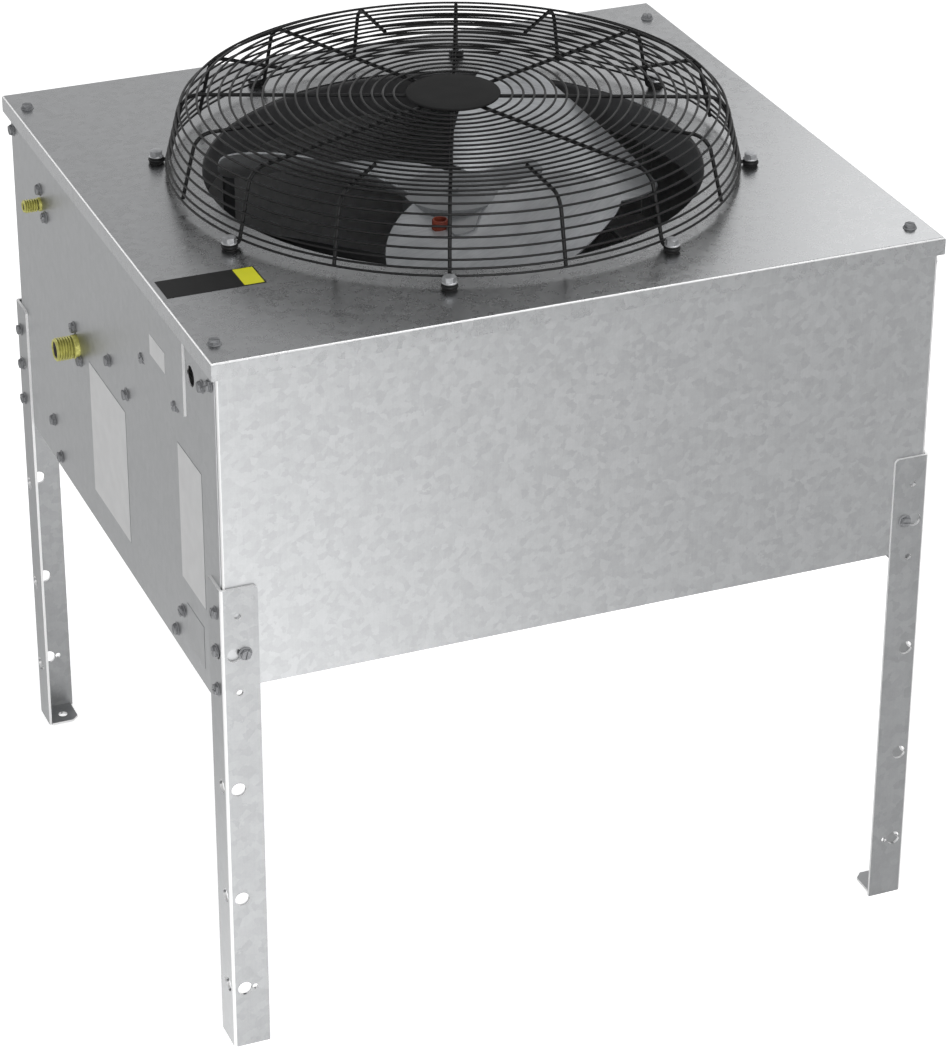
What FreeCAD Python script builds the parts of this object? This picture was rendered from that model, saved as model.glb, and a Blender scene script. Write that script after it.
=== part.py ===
import FreeCAD, Part

import math
import os

Vector = FreeCAD.Vector

# Remote condenser on four angle legs: a galvanised sheet housing with a flat coil across its
# bottom and one fan that blows upwards through a round wire guard. Millimetres, +Z up, the
# front at -Y. The origin lies on the floor, at the centre of the four anchor holes.

# Housing
WIDTH = 800.0
DEPTH = 743.0
TOP_HEIGHT = 810.0
SHEET = 1.2
TOP_LIP = 19.0
TOP_BEND = 2.4
SIDE_INSET = 4.5
FRONT_INSET = 4.5
BACK_INSET = 13.6
FRONT_DROP = 369.0
SIDE_DROP = 401.0
CORNER_BEND = 2.5
CORNER_FLANGE = 25.0
CORNER_GAP = 0.6
SEAT_FLANGE = 20.0
HEM_FLANGE = 12.0

# Fan opening and the ring that guides the air into it
ORIFICE_RADIUS = 270.0
RING_DEPTH = 46.0
RING_FLANGE = 26.0
RING_BEND = 4.0
BEND_STEPS = 3

# Legs, bent from plate, with the foot turned in under the cabinet
LEG_WIDTH = 40.0
LEG_PLATE = 3.0
LEG_PROUD = 3.0
LEG_TOP_DROP = 253.0
LEG_TOP_ROUND = 5.0
LEG_BEND = 3.5
FOOT_WIDTH = 37.0
FOOT_DEPTH = 43.0
FOOT_CHAMFER = 8.0
ANCHOR_RADIUS = 5.5
ANCHOR_FROM_SIDE = 21.0
ANCHOR_FROM_END = 26.0
LEG_HOLE_RADIUS = 7.8
LEG_HOLE_OFFSET = 13.5
LEG_HOLE_TOP_DROP = 329.0
LEG_HOLE_UPPER_DROP = 489.0
LEG_HOLE_LOWER_DROP = 623.6
LEG_HOLE_BASE_DROP = 737.0
BOLT_HOLE_RADIUS = 3.5
BOLT_HOLE_OFFSET = 18.0
BOLT_HOLE_TOP_DROP = 285.0
BOLT_HOLE_LOW_DROP = 374.0
KEY_HOLE_RADIUS = 3.2
KEY_HOLE_OFFSET = 25.0

# Coil with its casing
COIL_HEIGHT = 85.0
COIL_DROP = 360.0
COIL_SIDE_GAP = 54.0
COIL_END_GAP = 24.0
COIL_FACE_GAP = 6.0
CASING = 1.5
FIN_RIB_COUNT = 24
FIN_RIB_WIDTH = 14.0
FIN_RIB_DEPTH = 6.0

# Fan. A blade's edges are given by their angles about the axis and their heights.
BLADE_COUNT = 3
TIP_CLEARANCE = 16.0
BLADE_PLATE = 2.0
BLADE_PHASE = 7.1
HIGH_EDGE_ROOT_ANGLE = 64.0
HIGH_EDGE_TIP_ANGLE = 46.0
HIGH_EDGE_BOW = -5.0
LOW_EDGE_ROOT_ANGLE = -49.5
LOW_EDGE_TIP_ANGLE = -4.0
LOW_EDGE_BOW = 2.0
HIGH_EDGE_ROOT_DROP = 23.0
HIGH_EDGE_TIP_RISE = 36.0
HIGH_EDGE_CROWN = 22.5
LOW_EDGE_ROOT_DROP = 33.5
LOW_EDGE_TIP_DROP = 74.0
BLADE_SAG = 16.0
BLADE_CORNER = 22.0
BLADE_MARGIN = 0.05
ARM_PLATE = 2.5
ARM_REACH = 62.0
ARM_ROOT_WIDTH = 52.0
ARM_TIP_WIDTH = 20.0
HUB_RADIUS = 55.0
HUB_TOP_DROP = 31.5
HUB_RIM_WIDTH = 6.0
HUB_RIM_HEIGHT = 20.0
HUB_PLATE = 4.0
BOSS_RADIUS = 16.0
BOSS_LENGTH = 30.0
SHAFT_RADIUS = 6.0
SHAFT_PROUD = 4.0
SHAFT_SEAT = 16.0
SHAFT_CLEARANCE = 0.1
SHAFT_END_GAP = 0.3
MOTOR_GAP = 6.0
MOTOR_RADIUS = 58.0
MOTOR_HEIGHT = 90.0
MOTOR_CHAMFER = 9.0
MOTOR_NOSE_RADIUS = 20.0
MOTOR_NOSE_HEIGHT = 12.0
BRACKET_ARMS = 4
BRACKET_BAND = 30.0
BRACKET_PLATE = 2.5
BRACKET_WIDTH = 24.0

# Wire guard
GUARD_SIDES = 32
GUARD_SPOKES = 8
GUARD_HEIGHT = 81.6
RING_WIRE = 2.6
SPOKE_WIRE = 4.2
WELD = 0.3
GUARD_HUB_RADIUS = 51.0
GUARD_HUB_PLATE = 3.0
GUARD_HUB_OVERLAP = 14.0
TOP_RING_FIRST = 63.7
TOP_RING_STEP = 23.4
TOP_RING_COUNT = 10
SHORT_SPOKE_START = 204.0
GUARD_TOP_RADIUS = 280.0
GUARD_SHOULDER_RADIUS = 288.0
GUARD_SIDE_TOP = 69.0
GUARD_SIDE_TOP_RADIUS = 295.3
GUARD_SIDE_BASE_RADIUS = 311.3
SHOULDER_RING_RADIUS = 284.6
SIDE_RING_TOP = 67.6
SIDE_RING_STEP = 11.05
SIDE_RING_COUNT = 5
SIDE_RING_LOWEST = 14.6
GUARD_FOOT_PCD = 642.0
EYE_RADIUS = 5.0
EYE_HEIGHT = 1.4
GROMMET_RADIUS = 7.9
GROMMET_HEIGHT = 7.0
GROMMET_SIDES = 16
GUARD_BOLT_RADIUS = 2.5
GUARD_BOLT_LENGTH = 16.0
BOLT_FLANGE_RADIUS = 7.4
BOLT_FLANGE_HEIGHT = 1.4
BOLT_HEAD_FLATS = 11.0
BOLT_HEAD_HEIGHT = 6.0
BOLT_SIDES = 8

# Pipe fittings, wiring hole and cover on the left side
GAS_FITTING_Y = 124.0
GAS_FITTING_DROP = 204.0
GAS_THREAD_RADIUS = 13.5
GAS_BORE_RADIUS = 9.5
GAS_LENGTH = 26.0
GAS_COLLAR = 6.0
LIQUID_FITTING_Y = 247.0
LIQUID_FITTING_DROP = 84.0
LIQUID_THREAD_RADIUS = 7.9
LIQUID_BORE_RADIUS = 4.6
LIQUID_LENGTH = 20.0
LIQUID_COLLAR = 3.0
FITTING_TAIL = 14.0
THREAD_RELIEF = 1.5
THREAD_DEPTH = 1.0
PIPE_BEND = 1.6
PIPE_SIDES = 12
CONDUIT_Y = -290.4
CONDUIT_DROP = 50.6
CONDUIT_RADIUS = 11.1
COVER_FRONT_Y = -272.5
COVER_BACK_Y = -108.5
COVER_TOP_DROP = 21.6
COVER_BOTTOM_DROP = 103.2
COVER_PROUD = 3.0

# How far a cutting shape runs past what it cuts
PAST = 1.0

# Places worked out from the sizes above
SIDE_X = WIDTH / 2 - SIDE_INSET
SIDE_INNER_X = SIDE_X - SHEET
FRONT_Y = -DEPTH / 2 + FRONT_INSET
BACK_Y = DEPTH / 2 - BACK_INSET
PANEL_TOP = TOP_HEIGHT - SHEET
LEG_X = SIDE_X + LEG_PROUD
LEG_Y = -FRONT_Y + LEG_PROUD
LEG_TOP = TOP_HEIGHT - LEG_TOP_DROP
TIP_RADIUS = ORIFICE_RADIUS - TIP_CLEARANCE
HUB_TOP = TOP_HEIGHT - HUB_TOP_DROP
BOSS_LOW = HUB_TOP - HUB_PLATE - BOSS_LENGTH
MOTOR_NOSE_TOP = BOSS_LOW - MOTOR_GAP
COIL_BASE = TOP_HEIGHT - COIL_DROP
COIL_X = SIDE_INNER_X - COIL_SIDE_GAP
COIL_FRONT_Y = FRONT_Y + SHEET + COIL_END_GAP
COIL_BACK_Y = BACK_Y - SHEET - COIL_END_GAP


def box(low, high):
    """A block between two corners."""
    size = [high[i] - low[i] for i in range(3)]
    return Part.makeBox(size[0], size[1], size[2], Vector(*low))


def cylinder(radius, low, high, x=0.0, y=0.0):
    """An upright cylinder between two heights."""
    return Part.makeCylinder(radius, high - low, Vector(x, y, low))


def side_rod(radius, x_start, x_end, y, z):
    """A cylinder along X."""
    length = abs(x_end - x_start)
    return Part.makeCylinder(radius, length, Vector(min(x_start, x_end), y, z), Vector(1, 0, 0))


def end_rod(radius, y_start, y_end, x, z):
    """A cylinder along Y."""
    length = abs(y_end - y_start)
    return Part.makeCylinder(radius, length, Vector(x, min(y_start, y_end), z), Vector(0, 1, 0))


def face_from(points):
    """A flat face inside a closed outline of points."""
    return Part.Face(Part.makePolygon([Vector(*p) for p in points] + [Vector(*points[0])]))


def spin(shape, angle):
    """A copy turned about the fan's axis by an angle in degrees."""
    turned = shape.copy()
    turned.rotate(Vector(0, 0, 0), Vector(0, 0, 1), angle)
    return turned


def mirrored(shape, across_x, across_y):
    """A copy mirrored across the middle planes named."""
    result = shape.copy()
    if across_x:
        result = result.mirror(Vector(0, 0, 0), Vector(1, 0, 0))
    if across_y:
        result = result.mirror(Vector(0, 0, 0), Vector(0, 1, 0))
    return result


def fuse_all(shapes):
    """One clean solid from shapes that meet."""
    first, rest = shapes[0], list(shapes[1:])
    joined = first.multiFuse(rest) if rest else first
    return joined.removeSplitter()


def bent_strip(points, sheet, bend):
    """The section of a folded sheet: an open path given thickness on its left, bends rounded.

    The points are (u, v) pairs in the plane of the section.
    """
    outer = offset_path(points, 0.0)
    inner = offset_path(points, sheet)
    wire_outer = rounded_path(outer, bend, points)
    wire_inner = rounded_path(inner, bend - sheet, points)
    caps = [Part.LineSegment(wire_outer[0].Vertexes[0].Point, wire_inner[0].Vertexes[0].Point),
            Part.LineSegment(wire_outer[-1].Vertexes[-1].Point, wire_inner[-1].Vertexes[-1].Point)]
    edges = wire_outer + wire_inner + [cap.toShape() for cap in caps]
    return Part.Face(Part.Wire(Part.__sortEdges__(edges)))


def offset_path(points, distance):
    """The path's corners moved to its left by a distance, with mitred corners."""
    vectors = [Vector(p[0], p[1], 0) for p in points]
    moved = []
    for i, point in enumerate(vectors):
        normals = []
        for a, b in ((i - 1, i), (i, i + 1)):
            if a >= 0 and b < len(vectors):
                along = (vectors[b] - vectors[a]).normalize()
                normals.append(Vector(-along.y, along.x, 0))
        normal = normals[0] if len(normals) == 1 else (normals[0] + normals[1]).normalize()
        moved.append(point + normal * (distance / normal.dot(normals[0])))
    return moved


def rounded_path(points, bend, path):
    """Edges along the points with every inner corner rounded.

    A corner that turns left has its inner radius on this side, and one that turns right its outer.
    """
    edges = []
    start = points[0]
    for i in range(1, len(points) - 1):
        before = (points[i - 1] - points[i]).normalize()
        after = (points[i + 1] - points[i]).normalize()
        half = math.acos(max(-1.0, min(1.0, before.dot(after)))) / 2
        radius = max(bend, 0.05)
        reach = radius / math.tan(half)
        first = points[i] + before * reach
        last = points[i] + after * reach
        middle_way = (before + after).normalize()
        centre = points[i] + middle_way * (radius / math.sin(half))
        middle = centre - middle_way * radius
        edges.append(Part.LineSegment(start, first).toShape())
        edges.append(Part.Arc(first, middle, last).toShape())
        start = last
    edges.append(Part.LineSegment(start, points[-1]).toShape())
    return edges


def turned_solid(profile):
    """A solid of revolution about the fan's axis from a closed (radius, height) outline."""
    face = face_from([(r, 0, z) for r, z in profile])
    return face.revolve(Vector(0, 0, 0), Vector(0, 0, 1), 360)


def prism(radius, sides, low, high):
    """An upright many-sided bar about the fan's axis, its corners on a radius."""
    corners = [polar(radius, 360.0 * i / sides, low) for i in range(sides)]
    return face_from([(p.x, p.y, p.z) for p in corners]).extrude(Vector(0, 0, high - low))


def place_plan(face, low, high):
    """A section drawn in plan, raised between two heights."""
    raised = face.copy()
    raised.translate(Vector(0, 0, low))
    return raised.extrude(Vector(0, 0, high - low))


def place_along_x(face, x_start, x_end):
    """A section drawn as (y, z), run along X."""
    turned = face.copy()
    matrix = FreeCAD.Matrix(0, 0, 1, 0, 1, 0, 0, 0, 0, 1, 0, 0, 0, 0, 0, 1)
    turned = turned.transformGeometry(matrix)
    turned.translate(Vector(x_start, 0, 0))
    return turned.extrude(Vector(x_end - x_start, 0, 0))


def place_along_y(face, y_start, y_end):
    """A section drawn as (x, z), run along Y."""
    turned = face.copy()
    turned.rotate(Vector(0, 0, 0), Vector(1, 0, 0), 90)
    turned.translate(Vector(0, y_end, 0))
    return turned.extrude(Vector(0, y_start - y_end, 0))


def top_panel():
    """The lid: a flat sheet with its edges bent down, open for the fan."""
    low = TOP_HEIGHT - TOP_LIP
    outer = box((-WIDTH / 2, -DEPTH / 2, low), (WIDTH / 2, DEPTH / 2, TOP_HEIGHT))
    outer = outer.makeFillet(TOP_BEND, [e for e in outer.Edges if on_level(e, TOP_HEIGHT)])
    inner = box((-WIDTH / 2 + SHEET, -DEPTH / 2 + SHEET, low - PAST),
                (WIDTH / 2 - SHEET, DEPTH / 2 - SHEET, PANEL_TOP))
    inner = inner.makeFillet(TOP_BEND - SHEET, [e for e in inner.Edges if on_level(e, PANEL_TOP)])
    lid = outer.cut(inner)
    lid = lid.cut(cylinder(ORIFICE_RADIUS + SHEET, low, TOP_HEIGHT + PAST))
    for x, y in guard_foot_points():
        lid = lid.cut(cylinder(GUARD_BOLT_RADIUS + SHAFT_CLEARANCE, low, TOP_HEIGHT + PAST, x, y))
    return lid


def on_level(edge, level):
    """Whether an edge lies at one height."""
    return all(abs(v.Z - level) < 1e-6 for v in edge.Vertexes)


def fan_ring():
    """The air guide: a flange under the lid that turns down into a short tube."""
    quarter = [math.radians(90.0 * i / BEND_STEPS) for i in range(BEND_STEPS + 1)]
    centre = (ORIFICE_RADIUS + RING_BEND, PANEL_TOP - RING_BEND)
    profile = [(ORIFICE_RADIUS + RING_FLANGE, PANEL_TOP)]
    profile += [(centre[0] - RING_BEND * math.sin(a), centre[1] + RING_BEND * math.cos(a))
                for a in quarter]
    profile += [(ORIFICE_RADIUS, TOP_HEIGHT - RING_DEPTH),
                (ORIFICE_RADIUS + SHEET, TOP_HEIGHT - RING_DEPTH)]
    inner = RING_BEND - SHEET
    profile += [(centre[0] - inner * math.sin(a), centre[1] + inner * math.cos(a))
                for a in reversed(quarter)]
    profile.append((ORIFICE_RADIUS + RING_FLANGE, PANEL_TOP - SHEET))
    return turned_solid(profile)


def end_panel(outer_y, towards, low):
    """The front or back sheet: corners bent back inside the sides, flanges at top and bottom."""
    x = SIDE_INNER_X
    back = outer_y + towards * CORNER_FLANGE
    plan = [(x, back), (x, outer_y), (-x, outer_y), (-x, back)]
    if towards > 0:
        plan.reverse()
    wall = place_plan(bent_strip(plan, SHEET, CORNER_BEND), low, PANEL_TOP - SHEET)
    inner_x = x - CORNER_BEND - CORNER_GAP
    ends = []
    for level, reach in ((PANEL_TOP - SHEET, SEAT_FLANGE), (low, HEM_FLANGE)):
        y_low, y_high = sorted((outer_y, outer_y + towards * reach))
        ends.append(box((-inner_x, y_low, level), (inner_x, y_high, level + SHEET)))
    return fuse_all([wall] + ends)


def side_panel():
    """The left side sheet, with a flange under the lid, a hem below and holes for the pipes."""
    low = TOP_HEIGHT - SIDE_DROP
    y_low, y_high = FRONT_Y + CORNER_BEND + CORNER_GAP, BACK_Y - CORNER_BEND - CORNER_GAP
    section = bent_strip([(-SIDE_X + HEM_FLANGE, low), (-SIDE_X, low), (-SIDE_X, PANEL_TOP),
                          (-SIDE_X + SEAT_FLANGE, PANEL_TOP)][::-1], SHEET, CORNER_BEND)
    return place_along_y(section, y_low, y_high)


def cleared_corners(panel):
    """The side sheet cut back at the corners, where the flanges of the ends lie."""
    reach = CORNER_FLANGE + CORNER_GAP
    low = TOP_HEIGHT - SIDE_DROP
    for y in (FRONT_Y, BACK_Y):
        for z_low, z_high in ((low - PAST, low + CORNER_BEND), (PANEL_TOP - CORNER_BEND, TOP_HEIGHT)):
            x_edges = sorted((-SIDE_INNER_X, -SIDE_X + SEAT_FLANGE + PAST))
            y_low, y_high = y - reach, y + reach
            panel = panel.cut(box((x_edges[0], y_low, z_low), (x_edges[1], y_high, z_high)))
    return panel


def left_panel():
    """The left side sheet with the holes for both fittings and the wiring."""
    panel = cleared_corners(side_panel())
    holes = ((LIQUID_THREAD_RADIUS, LIQUID_FITTING_Y, LIQUID_FITTING_DROP),
             (GAS_THREAD_RADIUS, GAS_FITTING_Y, GAS_FITTING_DROP),
             (CONDUIT_RADIUS, CONDUIT_Y, CONDUIT_DROP))
    for radius, y, drop in holes:
        panel = panel.cut(side_rod(radius, -SIDE_X - PAST, -SIDE_INNER_X + PAST, y, TOP_HEIGHT - drop))
    return panel


def right_panel():
    """The right side sheet, plain."""
    return mirrored(cleared_corners(side_panel()), True, False)


def leg():
    """The front left leg: an angle with its bolt and slot holes and the foot turned in."""
    x, y = -LEG_X, -LEG_Y
    plan = bent_strip([(x, y + LEG_WIDTH), (x, y), (x + LEG_WIDTH, y)], LEG_PLATE,
                      LEG_BEND)
    angle = place_plan(plan, 0, LEG_TOP)
    foot = box((x + LEG_PLATE, y + LEG_PLATE / 2, 0), (x + FOOT_WIDTH, y + FOOT_DEPTH, LEG_PLATE))
    corner = [(x + FOOT_WIDTH - FOOT_CHAMFER, y + FOOT_DEPTH, 0),
              (x + FOOT_WIDTH, y + FOOT_DEPTH - FOOT_CHAMFER, 0),
              (x + FOOT_WIDTH, y + FOOT_DEPTH, 0)]
    foot = foot.cut(face_from(corner).extrude(Vector(0, 0, LEG_PLATE)))
    solid = fuse_all([angle, foot])
    for across in (False, True):
        for radius, offset, drops in leg_holes():
            for drop in drops:
                z = TOP_HEIGHT - drop
                if across:
                    hole = end_rod(radius, y - PAST, y + LEG_PLATE + PAST, x + offset, z)
                else:
                    hole = side_rod(radius, x - PAST, x + LEG_PLATE + PAST, y + offset, z)
                solid = solid.cut(hole)
    anchor = cylinder(ANCHOR_RADIUS, -PAST, LEG_PLATE + PAST, x + ANCHOR_FROM_SIDE,
                      y + ANCHOR_FROM_END)
    solid = solid.cut(anchor)
    for tip in (solid_corner(x, y, True), solid_corner(x, y, False)):
        solid = solid.cut(tip)
    return solid


def leg_holes():
    """Radius, distance from the leg's outer corner and drops below the lid, for each kind."""
    slots = (LEG_HOLE_TOP_DROP, LEG_HOLE_UPPER_DROP, LEG_HOLE_LOWER_DROP, LEG_HOLE_BASE_DROP)
    return ((LEG_HOLE_RADIUS, LEG_HOLE_OFFSET, slots),
            (BOLT_HOLE_RADIUS, BOLT_HOLE_OFFSET, (BOLT_HOLE_TOP_DROP, BOLT_HOLE_LOW_DROP)),
            (KEY_HOLE_RADIUS, KEY_HOLE_OFFSET, (LEG_HOLE_TOP_DROP, LEG_HOLE_BASE_DROP)))


def solid_corner(x, y, along_x):
    """What is cut away to round the free upper corner of one flange."""
    r = LEG_TOP_ROUND
    if along_x:
        block = box((x + LEG_WIDTH - r, y - PAST, LEG_TOP - r),
                    (x + LEG_WIDTH + PAST, y + LEG_PLATE + PAST, LEG_TOP + PAST))
        return block.cut(end_rod(r, y - PAST, y + LEG_PLATE + PAST, x + LEG_WIDTH - r, LEG_TOP - r))
    block = box((x - PAST, y + LEG_WIDTH - r, LEG_TOP - r),
                (x + LEG_PLATE + PAST, y + LEG_WIDTH + PAST, LEG_TOP + PAST))
    return block.cut(side_rod(r, x - PAST, x + LEG_PLATE + PAST, y + LEG_WIDTH - r, LEG_TOP - r))


def coil_fins():
    """The finned block that fills the casing, its fins standing out above and below in ribs."""
    low, high = COIL_BASE, COIL_BASE + COIL_HEIGHT
    core = box((-COIL_X, COIL_FRONT_Y, low + FIN_RIB_DEPTH),
               (COIL_X, COIL_BACK_Y, high - FIN_RIB_DEPTH))
    step = (2 * COIL_X - FIN_RIB_WIDTH) / (FIN_RIB_COUNT - 1)
    starts = [-COIL_X + step * i for i in range(FIN_RIB_COUNT)]
    ribs = [box((x, COIL_FRONT_Y, low), (x + FIN_RIB_WIDTH, COIL_BACK_Y, high)) for x in starts]
    return fuse_all([core] + ribs)


def casing_levels():
    """Heights of the casing's lower and upper edges."""
    return COIL_BASE - COIL_FACE_GAP, COIL_BASE + COIL_HEIGHT + COIL_FACE_GAP


def coil_end():
    """The left tube plate: its edges bent out to the side sheet, so that no air passes by."""
    low, high = casing_levels()
    section = bent_strip([(-SIDE_INNER_X, low), (-COIL_X, low), (-COIL_X, high),
                          (-SIDE_INNER_X, high)], CASING, CORNER_BEND)
    return place_along_y(section, COIL_FRONT_Y, COIL_BACK_Y)


def coil_rail(inner_y, outer_y):
    """The casing's front or back channel, along the coil's face and both tube plates."""
    low, high = casing_levels()
    points = [(outer_y, low), (inner_y, low), (inner_y, high), (outer_y, high)]
    if outer_y > inner_y:
        points.reverse()
    section = bent_strip(points, CASING, CORNER_BEND)
    reach = SIDE_INNER_X - SHEET - CORNER_GAP
    return place_along_x(section, -reach, reach)


def polar(radius, angle, z=0.0):
    """A point at a radius and an angle in degrees about the fan's axis."""
    turn = math.radians(angle)
    return Vector(radius * math.cos(turn), radius * math.sin(turn), z)


def edge_angle(share, root, tip, bow):
    """Angle in degrees of a blade's edge, a share of the way from the hub's rim to the tip."""
    return root + (tip - root) * share + bow * share * (1 - share)


def blade_point(across, share, lift=0.0):
    """A point of a blade's sheet: across from the high edge (0) to the low (1), out by a share."""
    high = edge_angle(share, HIGH_EDGE_ROOT_ANGLE, HIGH_EDGE_TIP_ANGLE, HIGH_EDGE_BOW)
    low = edge_angle(share, LOW_EDGE_ROOT_ANGLE, LOW_EDGE_TIP_ANGLE, LOW_EDGE_BOW)
    low_level = -LOW_EDGE_ROOT_DROP + (LOW_EDGE_ROOT_DROP - LOW_EDGE_TIP_DROP) * share
    high_level = -HIGH_EDGE_ROOT_DROP + (HIGH_EDGE_ROOT_DROP + HIGH_EDGE_TIP_RISE) * share
    high_level += HIGH_EDGE_CROWN * 4 * share * (1 - share)
    level = high_level + (low_level - high_level) * across
    level -= BLADE_SAG * 4 * across * (1 - across)
    radius = HUB_RADIUS + (TIP_RADIUS - HUB_RADIUS) * share
    return polar(radius, high + (low - high) * across, TOP_HEIGHT + level + lift)


def blade_sheet(inner, lift, thickness):
    """A layer that follows a blade's twist, a little larger all round than the blade itself.

    It starts at an inner share of the blade's reach.
    """
    steps = 5
    outer = 1 + BLADE_MARGIN
    rows = []
    for i in range(steps + 1):
        across = -BLADE_MARGIN + (1 + 2 * BLADE_MARGIN) * i / steps
        rows.append([blade_point(across, inner + (outer - inner) * j / steps, lift)
                     for j in range(steps + 1)])
    surface = Part.BSplineSurface()
    surface.interpolate(rows)
    return surface.toShape().extrude(Vector(0, 0, thickness))


def blade_column():
    """A blade's outline in plan as an upright column, with its two tip corners rounded."""
    low = TOP_HEIGHT - 2 * LOW_EDGE_TIP_DROP
    steps = 4
    edges = []
    for across in (0.0, 1.0):
        points = [blade_point(across, i / steps) for i in range(steps + 1)]
        curve = Part.BSplineCurve()
        curve.interpolate([Vector(p.x, p.y, low) for p in points])
        edges.append(curve.toShape())
    for share in (0.0, 1.0):
        points = [blade_point(across, share) for across in (0.0, 0.5, 1.0)]
        edges.append(Part.Arc(*[Vector(p.x, p.y, low) for p in points]).toShape())
    face = Part.Face(Part.Wire(Part.__sortEdges__(edges)))
    column = face.extrude(Vector(0, 0, 3 * LOW_EDGE_TIP_DROP))
    return column.makeFillet(BLADE_CORNER, [e for e in column.Edges if is_tip_corner(e)])


def fan_blade():
    """One blade: a twisted sheet cut to its outline."""
    return blade_sheet(-BLADE_MARGIN, 0.0, BLADE_PLATE).common(blade_column())


def is_tip_corner(edge):
    """Whether an edge is one of a blade's upright corners at the tip."""
    first, last = edge.Vertexes[0].Point, edge.Vertexes[-1].Point
    upright = math.hypot(first.x - last.x, first.y - last.y) < SHAFT_CLEARANCE
    return upright and math.hypot(first.x, first.y) > (HUB_RADIUS + TIP_RADIUS) / 2


def fan_blades():
    """All the blades, spaced evenly round the hub."""
    blade = fan_blade()
    return Part.makeCompound([spin(blade, BLADE_PHASE + 360.0 * i / BLADE_COUNT)
                              for i in range(BLADE_COUNT)])


def spider_arm():
    """An arm pressed to a blade's own twist, lying on it and narrowing outwards."""
    middle = (HIGH_EDGE_ROOT_ANGLE + LOW_EDGE_ROOT_ANGLE) / 2
    inner = HUB_RADIUS - HUB_RIM_WIDTH
    plan = [(inner, -ARM_ROOT_WIDTH / 2), (HUB_RADIUS + ARM_REACH, -ARM_TIP_WIDTH / 2),
            (HUB_RADIUS + ARM_REACH, ARM_TIP_WIDTH / 2), (inner, ARM_ROOT_WIDTH / 2)]
    low = TOP_HEIGHT - 2 * LOW_EDGE_TIP_DROP
    column = face_from([(x, y, low) for x, y in plan]).extrude(Vector(0, 0, 3 * LOW_EDGE_TIP_DROP))
    tips = [e for e in column.Edges if is_tip(e, HUB_RADIUS + ARM_REACH)]
    column = spin(column.makeFillet(ARM_TIP_WIDTH / 3, tips), middle)
    reach_in = -HUB_RIM_WIDTH / (TIP_RADIUS - HUB_RADIUS)
    return blade_sheet(reach_in, BLADE_PLATE, ARM_PLATE).common(column)


def is_tip(edge, x):
    """Whether an edge is upright and stands at one X."""
    first, last = edge.Vertexes[0].Point, edge.Vertexes[-1].Point
    return abs(first.z - last.z) > ARM_PLATE and abs(first.x - x) < SHAFT_CLEARANCE


def shaft_end():
    """Height of the shaft's lower end, inside the motor's nose."""
    return MOTOR_NOSE_TOP - SHAFT_SEAT


def fan_hub():
    """The spider that carries the blades: a capped rim with its boss, its arms and the shaft."""
    inner = HUB_RADIUS - HUB_RIM_WIDTH
    under = HUB_TOP - HUB_PLATE
    rim_low = HUB_TOP - HUB_RIM_HEIGHT
    cap = turned_solid([(0, HUB_TOP), (HUB_RADIUS, HUB_TOP), (HUB_RADIUS, rim_low),
                        (inner, rim_low), (inner, under), (BOSS_RADIUS, under),
                        (BOSS_RADIUS, BOSS_LOW), (0, BOSS_LOW)])
    shaft = cylinder(SHAFT_RADIUS, shaft_end(), HUB_TOP + SHAFT_PROUD)
    arm = spider_arm()
    arms = [spin(arm, BLADE_PHASE + 360.0 * i / BLADE_COUNT) for i in range(BLADE_COUNT)]
    return fuse_all([cap, shaft] + arms)


def fan_motor():
    """The motor under the hub, with a nose that carries the shaft."""
    nose_top = MOTOR_NOSE_TOP
    shell_top = nose_top - MOTOR_NOSE_HEIGHT
    shell_low = shell_top - MOTOR_HEIGHT
    shaft = SHAFT_RADIUS + SHAFT_CLEARANCE
    shaft_low = shaft_end() - SHAFT_END_GAP
    return turned_solid([(0, shell_low), (MOTOR_RADIUS - MOTOR_CHAMFER, shell_low),
                         (MOTOR_RADIUS, shell_low + MOTOR_CHAMFER),
                         (MOTOR_RADIUS, shell_top - MOTOR_CHAMFER),
                         (MOTOR_RADIUS - MOTOR_CHAMFER, shell_top),
                         (MOTOR_NOSE_RADIUS, shell_top), (MOTOR_NOSE_RADIUS, nose_top),
                         (shaft, nose_top), (shaft, shaft_low), (0, shaft_low)])


def motor_middle():
    """Height of the middle of the motor's shell."""
    return MOTOR_NOSE_TOP - MOTOR_NOSE_HEIGHT - MOTOR_HEIGHT / 2


def motor_band():
    """The band clamped round the motor."""
    low, high = motor_middle() - BRACKET_BAND / 2, motor_middle() + BRACKET_BAND / 2
    return cylinder(MOTOR_RADIUS + BRACKET_PLATE, low, high).cut(cylinder(MOTOR_RADIUS, low, high))


def motor_arm(i):
    """A flat bar from the motor's band out to the air guide, turned up along its outside."""
    ring_out = ORIFICE_RADIUS + SHEET
    ring_low = TOP_HEIGHT - RING_DEPTH
    reach = [(MOTOR_RADIUS, motor_middle()), (ring_out, motor_middle()),
             (ring_out, ring_low + RING_DEPTH / 2)]
    section = bent_strip(reach, -BRACKET_PLATE, BRACKET_PLATE * 2)
    section.rotate(Vector(0, 0, 0), Vector(1, 0, 0), 90)
    section.translate(Vector(0, BRACKET_WIDTH / 2, 0))
    arm = section.extrude(Vector(0, -BRACKET_WIDTH, 0))
    arm = arm.cut(cylinder(MOTOR_RADIUS + BRACKET_PLATE, ring_low - DEPTH, TOP_HEIGHT))
    arm = arm.cut(cylinder(ring_out, ring_low, TOP_HEIGHT))
    return spin(arm, 360.0 / BRACKET_ARMS * (i + 0.5))


def guard_foot_points():
    """Plan places of the guard's bolts, under the long spokes."""
    return [(p.x, p.y) for p in [polar(GUARD_FOOT_PCD / 2, spoke_angle(i))
                                 for i in range(GUARD_SPOKES)]]


def spoke_angle(i):
    """Angle of a long spoke, with the first half a step from the right side."""
    return 360.0 / GUARD_SPOKES * (i + 0.5)


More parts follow.
